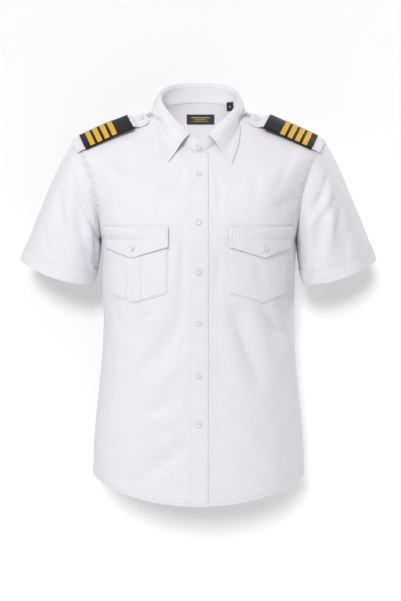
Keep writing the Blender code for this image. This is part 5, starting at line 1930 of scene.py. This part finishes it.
@dataclass
class ShoulderStrap:
    """A shoulder strap with the rank slide and its four bars of braid."""

    side: Side
    body: BVHTree
    length: float = 146.5
    width_outer: float = 50.0
    width_inner: float = 42.0
    centre_drop: float = 21.0
    centre_rise: float = 13.0
    slide_start: float = 18.0
    slide_length: float = 96.0
    slide_width: float = 54.0
    slide_wall: float = 1.0
    slide_columns: int = 30
    slide_floor: float = 0.7
    slide_room: float = 1.0
    slide_bend: float = 2.0
    columns: int = 27
    tip: float = 13.0
    strap_wall: float = 1.2
    strap_lift: float = 0.5
    slide_lift: float = 1.6
    slide_tilt: float = 5.5
    strap_tilt: float = 0.62
    bar_count: int = 4
    bar_width: float = 9.2
    bar_gap: float = 5.4
    bar_margin: float = 11.0
    bar_thickness: float = 0.8
    bar_lift: float = 0.35
    bar_columns: int = 46

    def __post_init__(self) -> None:
        """Works out the strap's own directions, and a smooth sheet over the shoulder for it to lie on."""
        ends = [edge_point(v, ARMHOLE_FRONT) * (self.side.value, 1, 1) for v in (2.0, 3.0)]
        inward = unit(ends[1] - ends[0])
        across = unit(np.array([0.0, -1.0, 0.0]) + self.strap_tilt * np.array([0.0, 0.0, -1.0]))
        across = unit(across - (across @ inward) * inward)
        out = np.cross(inward, across)
        self.out = out if out[2] > 0 else -out
        self.start = ends[0] + self.centre_drop * across
        self.inward = unit(inward - self.centre_rise / self.length * across)
        self.across = unit(across - (across @ self.inward) * self.inward)
        reach, side = (-2.0, self.length + 4.0), (-32.0, 32.0)
        spots, places = np.linspace(*reach, 22), np.linspace(*side, 17)
        heights = np.array([[self.seat(d, w) for w in places] for d in spots])
        rim = np.pad(heights, 1, mode="edge")
        rows, columns = heights.shape
        heights = np.max([rim[i:i + rows, j:j + columns] for i in range(3) for j in range(3)], axis=0)
        base = np.array([[self.start + d * self.inward + w * self.across for w in places] for d in spots])
        self.spots, self.places = np.linspace(*reach, 106), np.linspace(*side, 65)
        self.sheet = refine(base + heights[..., None] * self.out, len(self.spots), len(self.places))
        self.sheet_normals = grid_normals(self.sheet, self.out)

    def seat(self, d: float, w: float) -> float:
        """The cloth's height over the strap's own plane, at d along it and w across it."""
        base = self.start + d * self.inward + w * self.across
        return float((drop(self.body, base + 80.0 * self.out, -self.out)[0] - base) @ self.out)

    def over(self, d: Array | float, w: Array | float, height: Array | float) -> Array:
        """Points this high over the smooth sheet, at d along the strap and w across it."""
        d, w, height = np.broadcast_arrays(np.asarray(d, float), w, height)
        i = np.clip(np.searchsorted(self.spots, d) - 1, 0, len(self.spots) - 2)
        j = np.clip(np.searchsorted(self.places, w) - 1, 0, len(self.places) - 2)
        a = ((d - self.spots[i]) / (self.spots[i + 1] - self.spots[i]))[..., None]
        b = ((w - self.places[j]) / (self.places[j + 1] - self.places[j]))[..., None]
        sheet, turned = (
            (1 - a) * (1 - b) * v[i, j] + a * (1 - b) * v[i + 1, j]
            + (1 - a) * b * v[i, j + 1] + a * b * v[i + 1, j + 1]
            for v in (self.sheet, self.sheet_normals)
        )
        return sheet + height[..., None] * unit(turned)

    def tilt(self, d: Array | float) -> Array:
        """How far the stiff slide stands off the shoulder, more towards the neck."""
        return self.slide_tilt * np.clip((np.asarray(d, float) - self.slide_start) / self.slide_length, 0.0, 1.0)

    def strap(self) -> Cloth:
        """The strap's outer surface, narrower towards the neck, where its end is rounded."""
        end = self.slide_start + self.slide_length
        ds = 1.5 + even_steps(self.length - 1.5, 2.2, (0.3, 0.9, 1.8, 3.0))
        half = (self.width_outer + (self.width_inner - self.width_outer) * ds / self.length) / 2.0
        tip = np.clip((ds - self.length + self.tip) / self.tip, 0.0, 1.0)
        half = half * (1.0 - 0.52 * (1.0 - np.sqrt(1.0 - 0.97 * tip**2.4)))
        shares = np.linspace(-1.0, 1.0, self.columns)
        d = np.broadcast_to(ds[:, None], (len(ds), len(shares)))
        w = half[:, None] * shares
        inside = smooth((d - 1.0) / 14.0) * smooth((end + 13.0 - d) / 12.0)
        height = self.strap_lift + (self.slide_lift + self.tilt(d)) * inside + self.strap_wall
        rim = np.minimum(half[:, None] - np.abs(w), self.length - d)
        grid = self.over(d, w, height - 0.3 * (1.0 - smooth(rim / 0.9)))
        cloth = Cloth(grid, grid_normals(grid, self.out), w, d)
        cloth.marks = {"rim": rim}
        return cloth

    @property
    def roof(self) -> float:
        """The height of the slide's top over the sheet."""
        return self.strap_lift + self.slide_lift + self.strap_wall + self.slide_room + self.slide_wall

    def slide_ring(self, inset: float) -> tuple[Array, Array]:
        """Places across the slide and heights over the sheet, once round its tube."""
        flat_half = self.slide_width / 2.0 - self.slide_bend
        low, high = self.slide_floor + inset, self.roof - inset
        flat = np.linspace(-flat_half, flat_half, self.slide_columns)
        turn = np.linspace(math.pi / 2.0, -math.pi / 2.0, 7)[1:-1]
        bend, middle, rise = self.slide_bend - inset * 0.9, (low + high) / 2.0, (high - low) / 2.0
        right = (flat_half + bend * np.cos(turn), middle + rise * np.sin(turn))
        left = (-right[0][::-1], right[1][::-1])
        across = np.concatenate([flat, right[0], flat[::-1], left[0]])
        height = np.concatenate([np.full(len(flat), high), right[1], np.full(len(flat), low), left[1]])
        return across, height

    def make_slide(self) -> None:
        """Makes the slide, a flat tube of black cloth, and its bars of braid."""
        ds = self.slide_start + even_steps(self.slide_length, 2.4, (0.3, 0.8))
        grids = []
        for inset in (0.0, self.slide_wall):
            w, height = self.slide_ring(inset)
            edge = np.minimum(ds - ds[0], ds[-1] - ds)[:, None]
            pinch = 0.25 * (1.0 - smooth(edge / 0.8)) * (1.0 if inset == 0.0 else 0.0)
            grids.append(self.over(ds[:, None], w[None, :], height[None, :] - pinch + self.tilt(ds)[:, None]))
        outer, inner = grids
        w, _ = self.slide_ring(0.0)
        normals = grid_normals(outer, outer - outer.mean(axis=1, keepdims=True), closed=True)
        shape = outer.shape[:2]
        cloth = Cloth(outer, normals, np.broadcast_to(w, shape), np.broadcast_to(ds[:, None], shape), closed=True)
        word = self.side.word
        piece = shell(f"rank_slide_{word}_cloth", cloth, self.slide_wall, inner)
        dress(piece, BlackTwill().make(f"rank_slide_{word}_twill"), Slot.BLACK, f"rank_slide_{word}")
        gold = GoldBraid().make(f"braid_{word}")
        reach = self.slide_width / 2.0 - 1.2
        bars: list[Object3D] = []
        for k in range(self.bar_count):
            low = self.slide_start + self.bar_margin + k * (self.bar_width + self.bar_gap)
            bd = low + even_steps(self.bar_width, 0.75, (0.15, 0.5))
            bw = np.linspace(-reach, reach, self.bar_columns)
            edge = np.minimum(bd - bd[0], bd[-1] - bd)[:, None]
            round_off = 0.35 * (1.0 - smooth(edge / 0.9)) + 0.8 * smooth((np.abs(bw) - reach + 2.4) / 2.4)[None, :]
            ribs = 0.07 * np.sin(bw[None, :] * TURN / 3.0 + bd[:, None] * 1.6)
            height = self.roof + self.bar_lift + self.bar_thickness - round_off + ribs + self.tilt(bd)[:, None]
            grid = self.over(bd[:, None], bw[None, :], height)
            wide, long = np.broadcast_arrays(bw[None, :], bd[:, None] - low)
            bar = Cloth(grid, grid_normals(grid, self.out), wide, long)
            bars.append(shell(f"rank_bar_{word}_{k + 1}_braid", bar, self.bar_thickness))
            dress(bars[-1], gold, Slot.BRAID, f"rank_bar_{word}_{k + 1}")
        declare(piece, cloth, Held.FOLDED, f"shoulder_strap_{word}_cloth", *bars)

    def make(self, finish: Poplin) -> Cloth:
        """Makes the strap with its slide. Returns the strap's surface, for its button."""
        cloth = self.strap()
        seams = (Seam("rim", 4.6, 0.8, 0.25, "up", 0.12, 0.16),)
        stem = f"shoulder_strap_{self.side.word}"
        make_sheet(stem, cloth, self.strap_wall, finish, seams, Held.FOLDED, "yoke_cloth", 0.12)
        self.make_slide()
        return cloth


@dataclass
class Buttons:
    """Round four-hole buttons, all from one turned form."""

    diameter: float = 11.5
    thickness: float = 2.4
    hole: float = 1.25
    spacing: float = 2.8
    clearance: float = 0.35
    thread_radius: float = 0.2
    thread_gap: float = 0.22
    finish: PearlButton = field(default_factory=PearlButton)
    thread: Thread = field(default_factory=Thread)

    def __post_init__(self) -> None:
        """Turns the button's form once, drills it and adds its thread."""
        self.materials = [self.finish.make("button_pearl"), self.thread.make("button_thread")]
        self.form = self.turned()

    def turned(self) -> bpy.types.Mesh:
        """The form: a dished disc with a rounded rim, four holes and thread through them."""
        r, h = self.diameter / 2.0, self.thickness
        profile = [
            (0.0, 0.0), (r - 1.1, 0.0), (r - 0.4, 0.25), (r - 0.08, 0.75), (r, 1.2), (r - 0.15, 1.8), (r - 0.5, 2.2),
            (r - 0.95, h), (r - 1.4, 2.25), (r - 1.8, 1.85), (r - 2.4, 1.72), (1.6, 1.68), (0.0, 1.68),
        ]
        disc = bmesh.new()
        spun = [disc.verts.new((x * MM, 0.0, z * MM)) for x, z in profile]
        edges = [disc.edges.new(pair) for pair in zip(spun, spun[1:])]
        bmesh.ops.spin(disc, geom=spun + edges, angle=TURN, steps=48, axis=(0, 0, 1), cent=(0, 0, 0),
                       use_merge=True)
        bmesh.ops.remove_doubles(disc, verts=disc.verts, dist=0.01 * MM)
        drills = bmesh.new()
        radius, off = self.hole / 2 * MM, self.spacing / 2 * MM
        for x, y in ((1, 1), (-1, 1), (-1, -1), (1, -1)):
            made = bmesh.ops.create_cone(
                drills, cap_ends=True, segments=16, radius1=radius, radius2=radius, depth=8 * MM
            )
            bmesh.ops.translate(drills, verts=made["verts"], vec=(x * off, y * off, 0))
        body, cutter = placed("button_form", mesh_of(disc)), placed("button_drills", mesh_of(drills))
        cut = body.modifiers.new("holes", "BOOLEAN")
        cut.operation, cut.solver, cut.object = "DIFFERENCE", "EXACT", cutter
        bpy.context.view_layer.update()
        drilled = bpy.data.meshes.new_from_object(body.evaluated_get(bpy.context.evaluated_depsgraph_get()))
        for obj in (body, cutter):
            bpy.data.objects.remove(obj, do_unlink=True)
        form = in_order("button_form_drilled", drilled)
        for material in self.materials:
            form.materials.append(material)
        self.sew_through(form)
        form.shade_smooth()
        form.set_sharp_from_angle(angle=math.radians(38.0))
        return form

    def sew_through(self, form: bpy.types.Mesh) -> None:
        """Adds two pairs of threads from hole to hole."""
        work = bmesh.new()
        work.from_mesh(form)
        for y in (-1, 1):
            for offset in (-self.thread_gap, self.thread_gap):
                rings = []
                for k in range(9):
                    t = k / 8.0
                    rise = 1.35 + 0.62 * math.sin(math.pi * t) ** 0.6
                    spot = Vector(((t - 0.5) * self.spacing, y * self.spacing / 2 + offset, rise))
                    turns = np.linspace(0, TURN, 7)[:-1]
                    ring = [self.thread_radius * Vector((0.0, math.cos(a), math.sin(a))) for a in turns]
                    rings.append([work.verts.new((spot + corner) * MM) for corner in ring])
                for first, second in zip(rings, rings[1:]):
                    for a in range(6):
                        b = (a + 1) % 6
                        work.faces.new((first[a], first[b], second[b], second[a])).material_index = 1
                for ring in (rings[0][::-1], rings[-1]):
                    work.faces.new(ring).material_index = 1
        mesh_of(work, form)

    def sew_on(
        self, node: str, tree: BVHTree, direction: Sequence[float], turn: float, shift: Array | float = 0.0
    ) -> None:
        """Sews a button where its solid stands.

        Args:
            node: The button's solid.
            tree: The cloth it lies on.
            direction: The way it faces, roughly.
            turn: How far it is turned about its own middle, in radians.
            shift: How far it sits from its solid's place.
        """
        low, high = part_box(node)
        middle = (np.array(low) + np.array(high)) / 2.0 / MM + shift
        facing = unit(direction)
        place, normal = drop(tree, middle + 25.0 * facing, -facing)
        u = unit(np.cross(normal, (0.31, 0.07, 1.0)))
        w = np.cross(normal, u)
        height = 0.0
        for a in np.linspace(0.0, TURN, 13):
            spot = place + self.diameter / 2.0 * (math.cos(a) * u + math.sin(a) * w)
            height = max(height, float((drop(tree, spot + 20.0 * normal, -normal)[0] - place) @ normal))
        seat = place + (height + self.clearance) * normal
        piece = placed(f"{node}_pearl", self.form.copy())
        piece.rotation_euler = Vector(normal).to_track_quat("Z", "Y").to_euler()
        piece.rotation_euler.rotate_axis("Z", turn)
        piece.location = Vector(seat) * MM
        dress(piece, self.materials[0], Slot.BUTTON, node)


@dataclass
class Labels:
    """The neck label inside the yoke and the size tag beside it, both plain."""

    size: tuple[float, float] = (52.0, 18.0)
    at: tuple[float, float] = (3.5, -13.5)
    tag: tuple[float, float] = (16.0, 17.0)
    tag_turn: float = 1.04
    tag_top: float = 17.0
    tag_radius: float = 66.0
    neck_y: float = -4.0
    wall: float = 0.6
    label_gap: float = 1.4
    tag_gap: float = 1.8
    label_rules: tuple[Triple, ...] = ((3.6, 17.0, 0.75), (-0.2, 12.0, 0.5), (-3.4, 15.0, 0.35))
    tag_rules: tuple[Triple, ...] = ((0.0, 1.6, 1.2),)
    finish: LabelSatin = field(default_factory=LabelSatin)

    def make(self, yoke: BVHTree, neck: BVHTree) -> None:
        """Makes both labels.

        Args:
            yoke: The yoke's inside.
            neck: The insides of the yoke and the stand together.
        """
        width, height = self.size
        xs, zs = even_steps(width, 2.6, (0.3,)) - width / 2.0, height / 2.0 - even_steps(height, 2.2, (0.3,))
        rows = [[drop(yoke, np.array([self.at[0] + x, 0.0, self.at[1] + z]), np.array([0.0, 1.0, 0.0]))[0] for x in xs]
                for z in zs]
        grid = np.array(rows) - (0.0, self.label_gap, 0.0)
        across, up = np.meshgrid(xs, zs)
        cloth = Cloth(grid, grid_normals(grid, (0.0, -1.0, 0.0)), across, up)
        self.add("neck_label", cloth, self.label_rules, "yoke_cloth")
        width, height = self.tag
        turns = self.tag_turn + (even_steps(width, 2.0, (0.3,)) - width / 2.0) / self.tag_radius
        columns = []
        for turn in turns:
            out = np.array([math.sin(turn), math.cos(turn), 0.0])
            columns.append(drop(neck, np.array([0.0, self.neck_y, self.tag_top]), out)[0] - self.tag_gap * out)
        downs = even_steps(height, 2.0, (0.3,))
        grid = np.array([[place - (0, 0, down) for place in columns] for down in downs])
        across, up = np.meshgrid((turns - self.tag_turn) * self.tag_radius, height / 2.0 - downs)
        cloth = Cloth(grid, grid_normals(grid, np.array([0.0, self.neck_y, 0.0]) - grid), across, up)
        self.add("size_tag", cloth, self.tag_rules, "collar_stand_cloth")

    def add(self, node: str, cloth: Cloth, rules: Sequence[Triple], rests_on: str) -> None:
        """Makes one label with its plain gold lines."""
        finish = self.finish.make(f"{node}_finish", rules)
        piece = dress(shell(f"{node}_satin", cloth, self.wall), finish, Slot.LABEL, node)
        declare(piece, cloth, Held.LAID, rests_on)


# The studio


@dataclass
class Studio:
    """Camera, soft lights, a pale wall close behind the shirt and a pale floor."""

    camera_at: Triple = (0.0035, -3.1956, -0.1855)
    camera_tilt: float = 87.0
    lens: float = 102.8
    glow: float = 0.535
    glow_up: float = 0.10
    glow_left: float = 0.06
    seen_white: float = 0.982
    wall_y: float = 0.1315
    wall_wide: float = 0.46
    wall_tall: float = 0.66
    wall_fade: float = 0.2
    floor_z: float = -1.10
    wall_colour: Triple = (0.965, 0.965, 0.967)
    floor_colour: Triple = (0.92, 0.92, 0.925)
    middle: Triple = (0.0, 0.0, -0.35)

    def camera(self) -> None:
        """Makes the camera at the photograph's angle."""
        data = bpy.data.cameras.new("camera")
        data.lens, data.sensor_width = self.lens, 36.0
        data.clip_start, data.clip_end = 0.1, 60.0
        made = placed("camera", data)
        made.location = self.camera_at
        made.rotation_euler = (math.radians(self.camera_tilt), 0.0, 0.0)
        bpy.context.scene.camera = made

    def light(self, name: str, at: Sequence[float], aim: Sequence[float], size: float, power: float) -> None:
        """Adds a soft square light that faces a point, and leaves the wall alone."""
        data = bpy.data.lights.new(name, "AREA")
        data.shape, data.size, data.energy = "SQUARE", size, power
        self.hang(name, data, Vector(aim) - Vector(at), at, "EXCLUDE")

    def sun(self, name: str, way: Sequence[float], angle: float, strength: float) -> None:
        """Adds an even light that falls on the wall alone, and gives the shirt's soft shadow there."""
        data = bpy.data.lights.new(name, "SUN")
        data.angle, data.energy = math.radians(angle), strength
        self.hang(name, data, Vector(way), (0.0, -3.0, 1.0), "INCLUDE")

    def hang(self, name: str, data: bpy.types.Light, way: Vector, at: Sequence[float], state: str) -> None:
        """Puts a light in its place and says whether the wall is all it lights, or what it leaves out."""
        made = placed(name, data)
        made.location = at
        made.rotation_euler = way.to_track_quat("-Z", "Y").to_euler()
        lit = bpy.data.collections.new(f"{name}_receivers")
        lit.objects.link(self.backdrop)
        lit.collection_objects[0].light_linking.link_state = state
        made.light_linking.receiver_collection = lit

    def world(self) -> None:
        """A pale surround. It shows near white, and lights more from above and from the left."""
        graph = Graph("studio_air", bpy.data.worlds.new("studio_air"))
        x, _, z = graph.space("Generated")
        glow = z * self.glow_up - x * self.glow_left + self.glow
        seen = graph.wire(graph.node("ShaderNodeLightPath"), "Is Camera Ray")
        strength = glow * (1.0 - seen) + seen * self.seen_white
        back = graph.node("ShaderNodeBackground", sockets={0: (1.0, 1.0, 1.0, 1.0), 1: strength})
        graph.node("ShaderNodeOutputWorld", sockets={0: back.outputs[0]})
        bpy.context.scene.world = graph.owner

    def plane(self, name: str, points: Sequence[Sequence[float]]) -> Object3D:
        """A flat four-cornered sheet that is part of the studio."""
        mesh = bpy.data.meshes.new(name)
        mesh.from_pydata(points, [], [(0, 1, 2, 3)])
        made = placed(name, mesh)
        return made

    def wall(self) -> Object3D:
        """The wall: it shows on its front only, fades out past its middle, and blocks no light."""
        corners = ((-1.1, -1.6), (1.1, -1.6), (1.1, 0.9), (-1.1, 0.9))
        made = self.plane("wall", [(x, self.wall_y, z) for x, z in corners])
        graph = Graph("wall_paint")
        x, _, z = graph.space()
        wide = (x.math("ABSOLUTE") - self.wall_wide) / self.wall_fade
        tall = ((z + 0.36).math("ABSOLUTE") - self.wall_tall) / self.wall_fade
        behind = graph.wire(graph.node("ShaderNodeNewGeometry"), "Backfacing")
        self.paint(made, graph, self.wall_colour, wide.math("MAXIMUM", tall).math("MAXIMUM", behind).clamped())
        for kind in ("shadow", "diffuse", "glossy", "transmission"):
            setattr(made, f"visible_{kind}", False)
        return made

    def floor(self) -> None:
        """The floor, well under the shirt, which hangs at a wearer's height. It fades out far away."""
        corners = ((-6.0, -6.0), (6.0, -6.0), (6.0, 6.0), (-6.0, 6.0))
        made = self.plane("floor", [(x, y, self.floor_z) for x, y in corners])
        graph = Graph("floor_paint")
        place = graph.node("ShaderNodeTexCoord").outputs["Object"]
        away = graph.wire(graph.node("ShaderNodeVectorMath", {"operation": "LENGTH"}, {0: place}), "Value")
        self.paint(made, graph, self.floor_colour, ((away - 1.5) / 1.9).clamped())

    def paint(self, made: Object3D, graph: Graph, colour: Triple, gone: Wire) -> None:
        """Paints part of the studio, clear where gone is 1."""
        paint = graph.node("ShaderNodeBsdfDiffuse", sockets={0: (*colour, 1.0)})
        clear = graph.node("ShaderNodeBsdfTransparent")
        both = graph.node("ShaderNodeMixShader", sockets={0: gone, 1: paint.outputs[0], 2: clear.outputs[0]})
        graph.node("ShaderNodeOutputMaterial", sockets={0: both.outputs[0]})
        made.data.materials.append(graph.owner)

    def make(self) -> None:
        """Sets up the whole studio."""
        bpy.context.scene.view_settings.view_transform = "Standard"
        self.camera()
        self.world()
        self.backdrop = self.wall()
        self.floor()
        self.sun("wall_light", (0.10, 1.0, -0.33), 12.0, 1.33)
        self.light("key", (-0.92, -2.55, 1.35), self.middle, 0.55, 47.0)
        self.light("neck_fill", (0.0, -0.02, -0.12), (0.0, 0.10, -0.01), 0.05, 0.075)
        self.light("rear_key", (2.6, 1.9, 1.3), self.middle, 0.6, 44.0)


# Putting the shirt together


@dataclass
class PilotShirt:
    """The whole shirt, built from the body outwards."""

    finish: Poplin = field(default_factory=Poplin)

    def build(self) -> None:
        """Makes every piece in order."""
        torso = Torso(finish=self.finish)
        fronts = {side: torso.front(side) for side in Side}
        back, yoke = torso.rear(0.0, YOKE_SEAM), torso.rear(YOKE_SEAM, 3.0)
        sleeves = {side: Sleeve(side, finish=self.finish) for side in Side}
        sleeve_cloths = {side: sleeve.cloth(torso.rows(1.0, 2.0)) for side, sleeve in sleeves.items()}
        join_seams([*fronts.values(), back, yoke, *sleeve_cloths.values()], torso.seam_roll, 2.6)
        thread = Thread().make("white_thread")
        body_sewing = Sewing("body_stitching")
        for side in Side:
            torso.make_front(side, fronts[side], body_sewing)
        torso.make_back(back, body_sewing)
        torso.make_yoke(yoke, body_sewing)
        for side in Side:
            sleeves[side].make(sleeve_cloths[side], body_sewing)
        body_sewing.make(thread)

        placket = Placket(finish=self.finish)
        band = placket.cloth(torso.rows(0.0, 2.93))
        front_sewing = Sewing("front_stitching")
        placket.make(band, front_sewing)
        buttons = Buttons()
        band_tree = band.tree()
        forward = (0.0, -1.0, 0.15)
        for k in range(1, 7):
            buttons.sew_on(f"front_button_{k}", band_tree, forward, 0.35 * k)
        for side in Side:
            flap = ChestPocket(side, FrontPlaces(fronts[side]), finish=self.finish).make(front_sewing)
            buttons.sew_on(f"flap_button_{side.word}", flap.tree(), (0.3 * side.value, -1.0, 0.1), 0.8)
        front_sewing.make(thread)

        body_tree = tree_of(fronts[Side.LEFT].points, fronts[Side.RIGHT].points, yoke.points)
        collar_sewing = Sewing("collar_stitching", pitch=2.6, length=1.8)
        collar = Collar(finish=self.finish)
        stand, leaf = collar.stand(), collar.leaf(body_tree)
        collar.make(stand, leaf, collar_sewing)
        buttons.sew_on("collar_button", stand.tree(), forward, 0.5)
        for side in Side:
            strap = ShoulderStrap(side, body_tree)
            cloth = strap.make(self.finish)
            buttons.sew_on(f"strap_button_{side.word}", cloth.tree(), strap.out, 0.3, -3.0 * strap.inward)
        collar_sewing.make(thread)
        inside = yoke.points - torso.wall * yoke.normals
        stand_inside = stand.points - collar.stand_wall * stand.normals
        Labels().make(tree_of(inside), tree_of(inside, stand_inside))


def main() -> None:
    """Builds the studio and the shirt."""
    logging.basicConfig(level=logging.INFO, format="%(name)s: %(message)s")
    Studio().make()
    PilotShirt().build()


if __name__ == "__main__":
    main()
